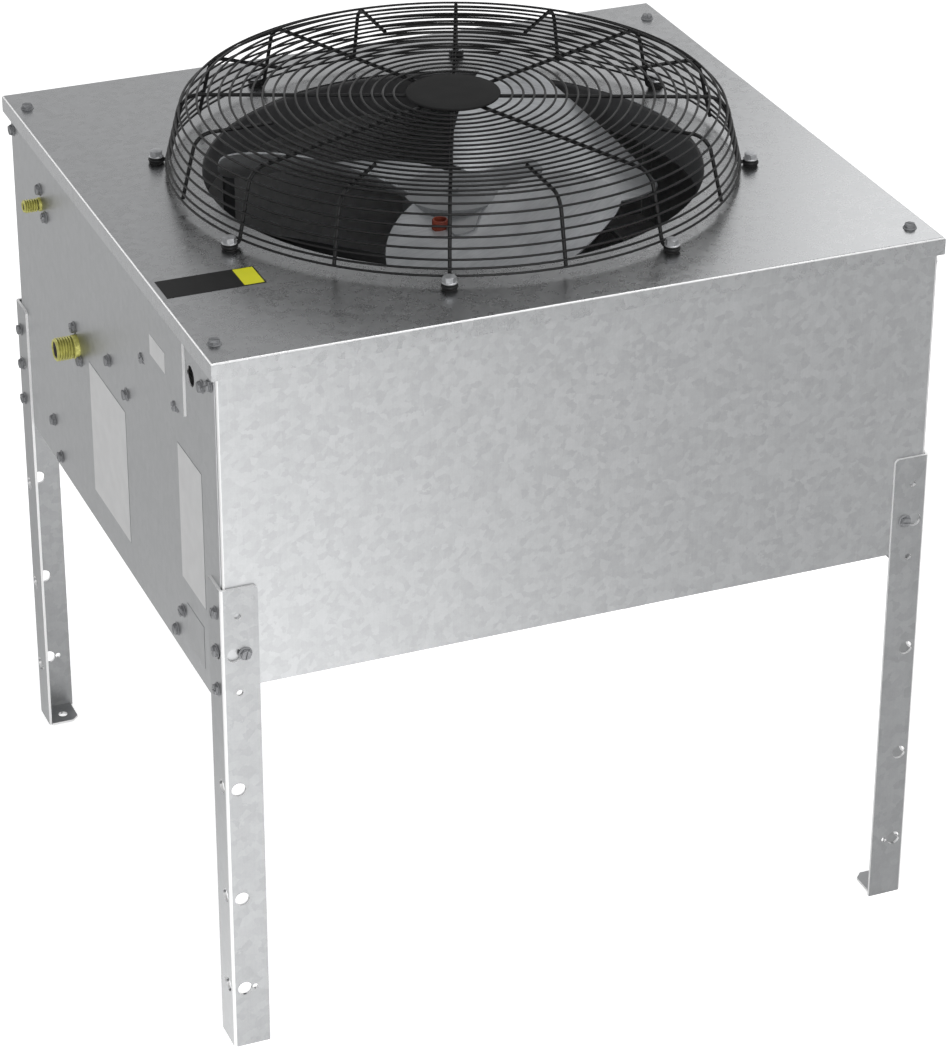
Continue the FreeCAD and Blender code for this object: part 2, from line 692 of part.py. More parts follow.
def ring_strip(radius, level, start, end):
    """Part of a many-sided wire ring between two angles, square in section."""
    half = RING_WIRE / 2
    step = 360.0 / GUARD_SIDES
    count = int(round((end - start) / step))
    angles = [start + step * i for i in range(count + 1)]
    z = TOP_HEIGHT + level - half
    if count == GUARD_SIDES:
        outer, inner = [Part.Face(Part.makePolygon([polar(r, a, z) for a in angles]))
                        for r in (radius + half, radius - half)]
        return outer.cut(inner).extrude(Vector(0, 0, RING_WIRE))
    points = [polar(radius + half, a, z) for a in angles]
    points += [polar(radius - half, a, z) for a in reversed(angles)]
    return face_from([(p.x, p.y, p.z) for p in points]).extrude(Vector(0, 0, RING_WIRE))


def spoke_bar(path, angle):
    """A square wire along a path of (radius, height above the lid) at one angle."""
    section = square_path(path, SPOKE_WIRE)
    section.rotate(Vector(0, 0, 0), Vector(1, 0, 0), 90)
    section.translate(Vector(0, SPOKE_WIRE / 2, TOP_HEIGHT))
    return spin(section.extrude(Vector(0, -SPOKE_WIRE, 0)), angle)


def square_path(path, width):
    """A flat strip of one width along a path, with mitred corners."""
    left = offset_path(path, width / 2)
    right = offset_path(path, -width / 2)
    points = left + right[::-1]
    return face_from([(p.x, p.y, p.z) for p in points])


def spoke_level():
    """Height of the spokes' centre line under the top rings."""
    return GUARD_HEIGHT - (RING_WIRE + SPOKE_WIRE) / 2 + WELD


def guard_top():
    """The guard's flat top: rings welded on to the long and short spokes."""
    bars = []
    for i in range(GUARD_SPOKES):
        inner = GUARD_HUB_RADIUS - GUARD_HUB_OVERLAP
        level = spoke_level()
        bars.append(spoke_bar([(inner, level), (GUARD_TOP_RADIUS, level)], spoke_angle(i)))
        bars.append(spoke_bar([(SHORT_SPOKE_START, level), (GUARD_TOP_RADIUS, level)],
                              spoke_angle(i - 0.5)))
    rings = [ring_strip(TOP_RING_FIRST + TOP_RING_STEP * i, GUARD_HEIGHT, 0.0, 360.0)
             for i in range(TOP_RING_COUNT)]
    return fuse_all(bars + rings)


def guard_hub():
    """The round plate in the middle of the guard."""
    low = TOP_HEIGHT + spoke_level() + SPOKE_WIRE / 2
    edge = GUARD_HUB_PLATE / 2
    return turned_solid([(0, low), (GUARD_HUB_RADIUS, low), (GUARD_HUB_RADIUS, low + edge),
                         (GUARD_HUB_RADIUS - edge, low + GUARD_HUB_PLATE),
                         (0, low + GUARD_HUB_PLATE)])


def side_spoke_radius(level):
    """Radius of a spoke's centre line on the guard's sloping side at a height."""
    base = EYE_HEIGHT + SPOKE_WIRE / 2
    share = (GUARD_SIDE_TOP - level) / (GUARD_SIDE_TOP - base)
    return GUARD_SIDE_TOP_RADIUS + (GUARD_SIDE_BASE_RADIUS - GUARD_SIDE_TOP_RADIUS) * share


def side_ring_levels():
    """Heights of the rings on the guard's sloping side, from the top down."""
    levels = [SIDE_RING_TOP - SIDE_RING_STEP * i for i in range(SIDE_RING_COUNT)]
    return levels + [SIDE_RING_LOWEST]


def side_rings():
    """Radius and height of each ring below the flat top, inside the spokes that carry it."""
    rings = [(SHOULDER_RING_RADIUS, spoke_level() - (RING_WIRE + SPOKE_WIRE) / 2 + WELD)]
    inwards = (RING_WIRE + SPOKE_WIRE) / 2 - WELD
    return rings + [(side_spoke_radius(level) - inwards, level) for level in side_ring_levels()]


def guard_side(i):
    """One eighth of the guard's side: ring parts, a short spoke, and a long one with its eye."""
    middle = spoke_angle(i)
    step = 360.0 / GUARD_SPOKES
    start = middle - 0.75 * step
    parts = [ring_strip(radius, level, start, start + step) for radius, level in side_rings()]
    level = spoke_level()
    shoulder = [(GUARD_TOP_RADIUS, level), (GUARD_SHOULDER_RADIUS, level),
                (GUARD_SIDE_TOP_RADIUS, GUARD_SIDE_TOP)]
    long_end = EYE_HEIGHT + SPOKE_WIRE / 2
    short_end = SIDE_RING_LOWEST - RING_WIRE
    for end, angle in ((long_end, middle), (short_end, middle - step / 2)):
        parts.append(spoke_bar(shoulder + [(side_spoke_radius(end), end)], angle))
    foot = polar(GUARD_FOOT_PCD / 2, middle)
    low, high = TOP_HEIGHT + EYE_HEIGHT, TOP_HEIGHT + EYE_HEIGHT + SPOKE_WIRE
    eye = cylinder(EYE_RADIUS + SPOKE_WIRE, low, high, foot.x, foot.y)
    parts.append(eye)
    side = fuse_all(parts)
    return side.cut(cylinder(EYE_RADIUS, low - PAST, high + PAST, foot.x, foot.y))


def guard_grommets():
    """The rubber grommets that hold the guard's eyes, with a groove round each."""
    groove_high = EYE_HEIGHT + SPOKE_WIRE
    tiers = ((GROMMET_RADIUS, 0, EYE_HEIGHT), (EYE_RADIUS, EYE_HEIGHT, groove_high),
             (GROMMET_RADIUS, groove_high, GROMMET_HEIGHT))
    body = fuse_all([prism(radius, GROMMET_SIDES, TOP_HEIGHT + low, TOP_HEIGHT + high)
                     for radius, low, high in tiers])
    hole = prism(GUARD_BOLT_RADIUS, BOLT_SIDES, TOP_HEIGHT - PAST, TOP_HEIGHT + GROMMET_HEIGHT + PAST)
    grommet = body.cut(hole)
    return Part.makeCompound([moved(grommet, x, y) for x, y in guard_foot_points()])


def moved(shape, x, y):
    """A copy moved in plan."""
    copy = shape.copy()
    copy.translate(Vector(x, y, 0))
    return copy


def guard_bolts():
    """The flanged hexagon bolts that hold the guard down."""
    low = TOP_HEIGHT + GROMMET_HEIGHT
    head_low = low + BOLT_FLANGE_HEIGHT
    bolt = fuse_all([prism(GUARD_BOLT_RADIUS, BOLT_SIDES, low - GUARD_BOLT_LENGTH, low),
                     prism(BOLT_FLANGE_RADIUS, GROMMET_SIDES, low, head_low),
                     prism(BOLT_HEAD_FLATS / math.sqrt(3), 6, head_low,
                           head_low + BOLT_HEAD_HEIGHT)])
    return Part.makeCompound([moved(bolt, x, y) for x, y in guard_foot_points()])


def fitting(thread_radius, bore_radius, length, collar, y, drop):
    """A threaded pipe connector through the left side, open at its end."""
    z = TOP_HEIGHT - drop
    root = thread_radius - THREAD_DEPTH
    outer_end = -SIDE_X - length
    body = side_rod(thread_radius, -SIDE_X - collar, -SIDE_INNER_X, y, z)
    thread = side_rod(thread_radius, outer_end, -SIDE_X - collar - THREAD_RELIEF, y, z)
    thread = thread.makeChamfer(THREAD_DEPTH, [e for e in thread.Edges if at_x(e, outer_end)])
    core = side_rod(root, outer_end + THREAD_DEPTH, -SIDE_INNER_X + FITTING_TAIL, y, z)
    solid = fuse_all([body, thread, core])
    tail_end = -SIDE_INNER_X + FITTING_TAIL
    return solid.cut(side_rod(bore_radius, outer_end - PAST, tail_end + PAST, y, z))


def at_x(edge, x):
    """Whether an edge lies at one X."""
    return all(abs(v.X - x) < 1e-6 for v in edge.Vertexes)


def inner_pipe(bore_radius, y, drop):
    """A pipe from a fitting's tail, turned down to the coil's casing."""
    radius = bore_radius + SHEET
    bend = radius * 2 * PIPE_BEND
    z = TOP_HEIGHT - drop
    start_x = -SIDE_INNER_X + FITTING_TAIL
    solids = []
    for size in (radius, bore_radius):
        turns = [math.radians(360.0 * (i + 0.5) / PIPE_SIDES) for i in range(PIPE_SIDES)]
        section = face_from([(start_x, y + size * math.cos(a), z + size * math.sin(a))
                             for a in turns])
        elbow = section.revolve(Vector(start_x, y, z - bend), Vector(0, 1, 0), 90)
        plan = face_from([(start_x + bend + size * math.sin(a), y + size * math.cos(a), z - bend)
                          for a in turns])
        run = plan.extrude(Vector(0, 0, casing_levels()[1] - z + bend))
        solids.append(elbow.fuse(run))
    return solids[0].cut(solids[1]).removeSplitter()


def junction_cover():
    """The shallow cover over the wiring opening."""
    low = (-SIDE_X - COVER_PROUD, COVER_FRONT_Y, TOP_HEIGHT - COVER_BOTTOM_DROP)
    high = (-SIDE_X, COVER_BACK_Y, TOP_HEIGHT - COVER_TOP_DROP)
    outer = box(low, high)
    inner = box((low[0] + SHEET, low[1] + SHEET, low[2] + SHEET),
                (high[0], high[1] - SHEET, high[2] - SHEET))
    return outer.cut(inner)


def build():
    """Every sub-part under its node name."""
    front_leg = leg()
    gas = (GAS_FITTING_Y, GAS_FITTING_DROP)
    liquid = (LIQUID_FITTING_Y, LIQUID_FITTING_DROP)
    end = coil_end()
    nodes = {
        "top_panel": top_panel(),
        "fan_ring": fan_ring(),
        "front_panel": end_panel(FRONT_Y, 1, TOP_HEIGHT - FRONT_DROP),
        "back_panel": end_panel(BACK_Y, -1, TOP_HEIGHT - FRONT_DROP),
        "left_panel": left_panel(),
        "right_panel": right_panel(),
        "leg_front_left": front_leg,
        "leg_front_right": mirrored(front_leg, True, False),
        "leg_back_left": mirrored(front_leg, False, True),
        "leg_back_right": mirrored(front_leg, True, True),
        "coil_fins": coil_fins(),
        "coil_end_left": end,
        "coil_end_right": mirrored(end, True, False),
        "coil_rail_front": coil_rail(COIL_FRONT_Y, FRONT_Y + SHEET),
        "coil_rail_back": coil_rail(COIL_BACK_Y, BACK_Y - SHEET),
        "gas_pipe": inner_pipe(GAS_BORE_RADIUS, *gas),
        "liquid_pipe": inner_pipe(LIQUID_BORE_RADIUS, *liquid),
        "fan_motor": fan_motor(),
        "motor_band": motor_band(),
        "fan_hub": fan_hub(),
        "fan_blades": fan_blades(),
        "junction_cover": junction_cover(),
        "discharge_fitting": fitting(GAS_THREAD_RADIUS, GAS_BORE_RADIUS, GAS_LENGTH,
                                     GAS_COLLAR, *gas),
        "liquid_fitting": fitting(LIQUID_THREAD_RADIUS, LIQUID_BORE_RADIUS, LIQUID_LENGTH,
                                  LIQUID_COLLAR, *liquid),
        "guard_top": guard_top(),
        "guard_hub": guard_hub(),
        "guard_grommets": guard_grommets(),
        "guard_bolts": guard_bolts(),
    }
    for i in range(BRACKET_ARMS):
        nodes["motor_arm_%d" % (i + 1)] = motor_arm(i)
    for i in range(GUARD_SPOKES):
        nodes["guard_side_%d" % (i + 1)] = guard_side(i)
    return nodes


os.makedirs("parts", exist_ok=True)
for name, shape in build().items():
    shape.exportStep("parts/%s.step" % name)
    print(name, "valid" if shape.isValid() else "NOT VALID", len(shape.Solids), round(shape.Volume))
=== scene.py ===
"""Looks of a remote condenser: wire guard, coil, fan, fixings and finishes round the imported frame.

The frame is in metres. Sizes in the classes below are in millimetres, as the maker's drawings are,
and become metres when a mesh is made.
"""

import logging
import math
from dataclasses import dataclass
from enum import Enum

import bpy
import numpy as np
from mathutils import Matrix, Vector


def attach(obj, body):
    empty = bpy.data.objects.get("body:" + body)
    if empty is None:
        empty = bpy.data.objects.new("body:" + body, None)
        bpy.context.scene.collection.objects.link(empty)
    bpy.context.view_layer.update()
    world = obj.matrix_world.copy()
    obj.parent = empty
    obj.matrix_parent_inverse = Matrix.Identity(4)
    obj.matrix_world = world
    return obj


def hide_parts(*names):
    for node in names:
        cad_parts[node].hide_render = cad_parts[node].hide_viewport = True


Array = np.ndarray
Pair = tuple[float, float]
Point = tuple[float, float, float]
Box = tuple[float, float, float, float]
Colour = tuple[float, float, float, float]
Stops = tuple[tuple[float, str], ...]
Tree = bpy.types.NodeTree
Node = bpy.types.Node
Socket = bpy.types.NodeSocket

MM = 0.001  # a millimetre in the frame's metres
LID = 810.0  # height of the lid's upper face
SIDE_X = 395.5  # from the middle to the outer face of a side sheet
SHEET = 1.2  # thickness of the sheets
FEET = 8  # feet of the guard
FEET_CIRCLE = 321.0  # radius of the circle that they stand on
TAIL = 14.0  # how far a fitting reaches inside its side sheet
ALONG_Y, ALONG_Z = np.eye(3)[1:]
PHOTO_WIDTH, PHOTO_HEIGHT = 947, 1049

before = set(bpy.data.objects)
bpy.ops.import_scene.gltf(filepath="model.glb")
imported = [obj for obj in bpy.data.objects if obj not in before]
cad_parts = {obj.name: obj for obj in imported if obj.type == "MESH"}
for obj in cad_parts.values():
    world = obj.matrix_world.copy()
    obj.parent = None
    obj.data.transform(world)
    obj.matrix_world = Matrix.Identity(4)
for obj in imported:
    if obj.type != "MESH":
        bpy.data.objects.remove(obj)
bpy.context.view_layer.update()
log = logging.getLogger("condenser")


class Body(Enum):
    """The two bodies of the frame."""

    CABINET = "cabinet"
    ROTOR = "rotor"


@dataclass
class Shell:
    """One or more closed surfaces: points (n, 3) in millimetres and faces as arrays of indices."""

    points: Array
    faces: list[Array]

    def volume(self) -> float:
        """Signed volume: the sum over face fans of first . (second x third) / 6."""
        total = 0.0
        for face in self.faces:
            corners = self.points[face]
            cross = np.cross(corners[:, 1:-1], corners[:, 2:])
            total += float(np.einsum("fki,fi->", cross, corners[:, 0])) / 6.0
        return total

    def outward(self) -> "Shell":
        """The same surface with its faces turned outwards."""
        if self.volume() < 0:
            return Shell(self.points, [face[:, ::-1] for face in self.faces])
        return self

    def at(self, matrices: Array) -> "Shell":
        """Copies placed by matrices.

        Args:
            matrices: An (m, 4, 4) array.

        Returns:
            One shell holding all m copies: each point is R p + t for each matrix.
        """
        count, size = len(matrices), len(self.points)
        turned = np.einsum("mij,nj->mni", matrices[:, :3, :3], self.points)
        points = (turned + matrices[:, None, :3, 3]).reshape(-1, 3)
        steps = (np.arange(count) * size)[:, None, None]
        faces = [(face[None] + steps).reshape(-1, face.shape[1]) for face in self.faces]
        return Shell(points, faces)


def joined(shells: list[Shell]) -> Shell:
    """One shell from several: points stacked, face indices shifted by what comes before."""
    starts = np.cumsum([0] + [len(shell.points) for shell in shells[:-1]])
    faces = [face + start for shell, start in zip(shells, starts) for face in shell.faces]
    return Shell(np.vstack([shell.points for shell in shells]), faces)


def grid(points: Array, wrap_rows: bool = False, caps: bool = False) -> Shell:
    """A closed surface over a grid whose columns run round it.

    Args:
        points: A (rows, columns, 3) array; the columns always close on themselves.
        wrap_rows: Joins the last row to the first, as round a torus.
        caps: Closes the first and the last row with a flat face each.

    Returns:
        The surface, its faces turned outwards.
    """
    rows, columns = points.shape[:2]
    index = np.arange(rows * columns).reshape(rows, columns)
    ends = [index[:1, ::-1], index[-1:]] if caps else []
    if wrap_rows:
        index = np.vstack([index, index[:1]])
    index = np.hstack([index, index[:, :1]])
    quads = np.stack([index[:-1, :-1], index[:-1, 1:], index[1:, 1:], index[1:, :-1]], axis=-1)
    return Shell(points.reshape(-1, 3), [quads.reshape(-1, 4)] + ends).outward()


def lathe(profile: Array, sides: int, annular: bool = False) -> Shell:
    """A turned form about +Z: the point at (r, z) and angle a is (r cos a, r sin a, z).

    Args:
        profile: A (k, 2) array of (radius, height).
        sides: Steps round the axis.
        annular: The profile is a closed section away from the axis.

    Returns:
        The closed surface.
    """
    turn = np.linspace(0.0, 2 * math.pi, sides, endpoint=False)
    radius, height = profile[:, :1], profile[:, 1:]
    points = np.stack([radius * np.cos(turn), radius * np.sin(turn),
                       np.repeat(height, sides, axis=1)], axis=-1)
    return grid(points, wrap_rows=annular, caps=not annular)


def wire(path: Array, radius: float, sides: int, side_way: Array, closed: bool = False) -> Shell:
    """A round wire along a flat path: a circle of points carried square to the path's direction.

    Args:
        path: An (n, 3) array of points on the wire's centre line.
        radius: Radius of the wire.
        sides: Sides of its section.
        side_way: Unit direction square to the plane that the path lies in.
        closed: The path returns to its start.

    Returns:
        The closed surface.
    """
    if closed:
        ahead = np.roll(path, -1, axis=0) - np.roll(path, 1, axis=0)
    else:
        ahead = np.gradient(path, axis=0)
    ahead /= np.linalg.norm(ahead, axis=1, keepdims=True)
    across = np.cross(side_way, ahead)
    turn = np.linspace(0.0, 2 * math.pi, sides, endpoint=False)
    rims = (across[:, None] * np.cos(turn)[:, None] + side_way * np.sin(turn)[:, None]) * radius
    return grid(path[:, None] + rims, wrap_rows=closed, caps=not closed)


def ring(radius: float, height: float, wire_radius: float, steps: int = 128,
         sides: int = 8) -> Shell:
    """A wire ring round the fan's axis at a height: path (r cos a, r sin a, h).

    Args:
        radius: Radius of the wire's centre line.
        height: Height of the centre line.
        wire_radius: Radius of the wire.
        steps: Steps round the axis.
        sides: Sides of the wire's section.

    Returns:
        The closed ring.
    """
    turn = np.linspace(0.0, 2 * math.pi, steps, endpoint=False)
    path = np.stack([radius * np.cos(turn), radius * np.sin(turn), np.full(steps, height)], 1)
    return wire(path, wire_radius, sides, ALONG_Z, closed=True)


def rounded(corners: list[Pair], bends: tuple[float, ...], steps: int) -> Array:
    """A path in a plane with its corners rounded by arcs.

    Args:
        corners: Corner points of the straight path.
        bends: Radius of the arc at each corner between the ends.
        steps: Points on each arc.

    Returns:
        An (n, 2) array: both ends and, at each corner, centre + radius (cos, sin) over the turn.
    """
    points = np.array(corners, dtype=float)
    parts = [points[:1]]
    for before, corner, after, bend in zip(points, points[1:], points[2:], bends):
        back = (before - corner) / np.linalg.norm(before - corner)
        on = (after - corner) / np.linalg.norm(after - corner)
        half = math.acos(float(np.clip(back @ on, -1.0, 1.0))) / 2
        middle = (back + on) / np.linalg.norm(back + on)
        centre = corner + middle * bend / math.sin(half)
        start = corner + back * bend / math.tan(half) - centre
        end = corner + on * bend / math.tan(half) - centre
        share = np.linspace(0.0, 1.0, steps)[:, None]
        sweep = math.acos(float(np.clip(start @ end / bend ** 2, -1.0, 1.0)))
        arc = (np.sin((1 - share) * sweep) * start + np.sin(share * sweep) * end) / math.sin(sweep)
        parts.append(centre + arc)
    parts.append(points[-1:])
    return np.vstack(parts)


def block(low: Point, high: Point) -> Shell:
    """A plain plate, as a ring of four upright edges with two caps.

    Args:
        low: Its corner with the lowest x, y and z.
        high: The corner across from it.

    Returns:
        The plate's surface.
    """
    x = np.array([low[0], high[0], high[0], low[0]])
    y = np.array([low[1], low[1], high[1], high[1]])
    rows = [np.stack([x, y, np.full(4, z)], axis=1) for z in (low[2], high[2])]
    return grid(np.stack(rows), caps=True)


def about_z(angles: Array) -> Array:
    """Turns about +Z by angles in radians, as an (n, 3, 3) array."""
    turned = np.tile(np.eye(3), (len(angles), 1, 1))
    turned[:, 0, 0], turned[:, 0, 1] = np.cos(angles), -np.sin(angles)
    turned[:, 1, 0], turned[:, 1, 1] = np.sin(angles), np.cos(angles)
    return turned


def moved(places: Array, turned: Array | None = None) -> Array:
    """Matrices that set copies in place.

    Args:
        places: An (n, 3) array of places.
        turned: The turn of each copy, as (n, 3, 3), or None to leave them as they are.

    Returns:
        An (n, 4, 4) array.
    """
    matrices = np.tile(np.eye(4), (len(places), 1, 1))
    if turned is not None:
        matrices[:, :3, :3] = turned
    matrices[:, :3, 3] = places
    return matrices


def turns(count: int, first: float = 0.0, offset: Point = (0, 0, 0)) -> Array:
    """Matrices that set a copy at an offset and turn it to evenly spaced angles about +Z.

    Args:
        count: How many copies go round.
        first: Angle of the first one, in degrees.
        offset: Place of a copy before it is turned.

    Returns:
        A (count, 4, 4) array.
    """
    turned = about_z(np.radians(first) + np.arange(count) * 2 * math.pi / count)
    return moved(turned @ np.array(offset, dtype=float), turned)


class Facing(Enum):
    """The way a fixing's head looks, as the columns of its turn: sideways, sideways, outwards."""

    UP = ((1, 0, 0), (0, 1, 0), (0, 0, 1))
    LEFT = ((0, -1, 0), (0, 0, 1), (-1, 0, 0))
    RIGHT = ((0, 1, 0), (0, 0, 1), (1, 0, 0))
    FRONT = ((1, 0, 0), (0, 0, 1), (0, -1, 0))
    BACK = ((-1, 0, 0), (0, 0, 1), (0, 1, 0))

    def matrices(self, places: Array, spin: Array) -> Array:
        """Matrices that set heads at places, each spun about its own axis by an angle."""
        return moved(places, np.array(self.value, dtype=float).T @ about_z(spin))


def linear(code: str) -> Colour:
    """An sRGB hex value as a linear colour with full alpha."""
    parts = [int(code[i:i + 2], 16) / 255 for i in (1, 3, 5)]
    return tuple(p / 12.92 if p <= 0.04045 else ((p + 0.055) / 1.055) ** 2.4
                 for p in parts) + (1.0,)


def add(tree: Tree, kind: str, values: dict | None = None,
        links: dict | None = None, **settings) -> Node:
    """Adds a node.

    Args:
        tree: The node tree.
        kind: The node's Blender type.
        values: Constants by input socket.
        links: Output sockets to join to it, by input socket.
        **settings: The node's own properties.

    Returns:
        The new node.
    """
    new = tree.nodes.new(kind)
    for name, value in settings.items():
        setattr(new, name, value)
    for name, value in (values or {}).items():
        new.inputs[name].default_value = value
    for name, source in (links or {}).items():
        tree.links.new(source, new.inputs[name])
    return new


def emptied(owner: bpy.types.Material | bpy.types.World) -> Tree:
    """The node tree of a material or of the world, with nothing in it."""
    owner.use_nodes = True
    owner.node_tree.nodes.clear()
    return owner.node_tree


def ramp(tree: Tree, source: Socket, stops: Stops) -> Socket:
    """Colours picked along a value.

    Args:
        tree: The node tree.
        source: The value, from 0 to 1.
        stops: Positions and their hex colours, in order.

    Returns:
        The colour.
    """
    node = add(tree, "ShaderNodeValToRGB", links={"Fac": source})
    elements = node.color_ramp.elements
    while len(elements) < len(stops):
        elements.new(1.0)
    for element, (position, code) in zip(elements, stops):
        element.position = position
        element.color = linear(code)
    return node.outputs["Color"]


def mapped(tree: Tree, per_metre: Point) -> Socket:
    """Object coordinates scaled by how many times a pattern repeats in a metre each way."""
    place = add(tree, "ShaderNodeTexCoord")
    node = add(tree, "ShaderNodeMapping", {"Scale": per_metre}, {"Vector": place.outputs["Object"]})
    return node.outputs["Vector"]


def noise(tree: Tree, size_mm: float | Point, detail: float = 2.0,
          roughness: float = 0.5) -> Socket:
    """Cloudy variation from 0 to 1.

    Args:
        tree: The node tree.
        size_mm: Real size of its features, the same or different each way.
        detail: How many finer layers it has.
        roughness: How strong each finer layer is.

    Returns:
        The value.
    """
    sizes = size_mm if isinstance(size_mm, tuple) else (size_mm,) * 3
    vector = mapped(tree, tuple(1.0 / (size * MM) for size in sizes))
    node = add(tree, "ShaderNodeTexNoise",
               {"Scale": 1.0, "Detail": detail, "Roughness": roughness}, {"Vector": vector})
    return node.outputs["Fac"]


def blended(tree: Tree, share: float, first: Socket, second: Socket) -> Socket:
    """A weighted mean of two values: first (1 - share) + second share."""
    node = add(tree, "ShaderNodeMix", {"Factor": share}, {"A": first, "B": second})
    return node.outputs["Result"]


def ranged(tree: Tree, source: Socket, low: float, high: float, start: float = 0.3,
           end: float = 0.7) -> Socket:
    """A value brought from one span to another, and held at the ends.

    Args:
        tree: The node tree.
        source: The value.
        low: What it becomes at the start.
        high: What it becomes at the end.
        start: Where the span starts.
        end: Where the span ends.

    Returns:
        The new value.
    """
    node = add(tree, "ShaderNodeMapRange",
               {"From Min": start, "From Max": end, "To Min": low, "To Max": high},
               {"Value": source})
    return node.outputs["Result"]


def combined(tree: Tree, operation: str, *values: Socket) -> Socket:
    """Values joined one after the other by a math operation, such as MAXIMUM."""
    result = values[0]
    for value in values[1:]:
        result = add(tree, "ShaderNodeMath", links={0: result, 1: value},
                     operation=operation).outputs["Value"]
    return result


def absolute(tree: Tree, source: Socket) -> Node:
    """The three parts of a vector without their signs."""
    size = add(tree, "ShaderNodeVectorMath", links={0: source}, operation="ABSOLUTE")
    return add(tree, "ShaderNodeSeparateXYZ", links={"Vector": size.outputs["Vector"]})


@dataclass(frozen=True)
class Finish:
    """A surface finish: its name, two tones, its gloss, and nodes that feed a Principled shader.

    The gloss is the roughness where the pattern that varies it is low and where it is high.
    """

    name: str
    dark: str = "#000000"
    light: str = "#ffffff"
    gloss: Pair | None = None

    def dress(self, tree: Tree, shader: Node) -> None:
        """Sets the shader's colour, gloss and relief."""
        raise NotImplementedError

    def coat(self, tree: Tree, shader: Node, pattern: Socket, span: Pair,
             bump: tuple[Socket, float, float] | None = None,
             over: tuple[Socket, str] | None = None,
             plain: dict[str, float] | None = None) -> None:
        """Feeds the shader from a pattern that varies tone and gloss together.

        Args:
            tree: The node tree.
            shader: The Principled shader.
            pattern: A value from 0 to 1.
            span: Where the pattern is all dark, and where it is all light.
            bump: A height from 0 to 1, its real depth in millimetres and its strength.
            over: A share from 0 to 1, and the hex colour that it lays over the tone.
            plain: Constants by the shader's socket.
        """
        links = {"Base Color": ramp(tree, pattern, tuple(zip(span, (self.dark, self.light))))}
        if over is not None:
            links["Base Color"] = add(tree, "ShaderNodeMix", {"B": linear(over[1])},
                                      {"Factor": over[0], "A": links["Base Color"]},
                                      data_type="RGBA").outputs["Result"]
        if self.gloss is not None:
            links["Roughness"] = ranged(tree, pattern, *self.gloss)
        if bump is not None:
            height, depth_mm, strength = bump
            links["Normal"] = add(tree, "ShaderNodeBump",
                                  {"Strength": strength, "Distance": depth_mm * MM},
                                  {"Height": height}).outputs["Normal"]
        for socket, source in links.items():
            tree.links.new(source, shader.inputs[socket])
        for socket, value in (plain or {}).items():
            shader.inputs[socket].default_value = value

    def material(self) -> bpy.types.Material:
        """The Blender material, made once."""
        known = bpy.data.materials.get(self.name)
        if known is not None:
            return known
        new = bpy.data.materials.new(self.name)
        tree = emptied(new)
        shader = add(tree, "ShaderNodeBsdfPrincipled")
        add(tree, "ShaderNodeOutputMaterial", links={"Surface": shader.outputs["BSDF"]})
        self.dress(tree, shader)
        return new


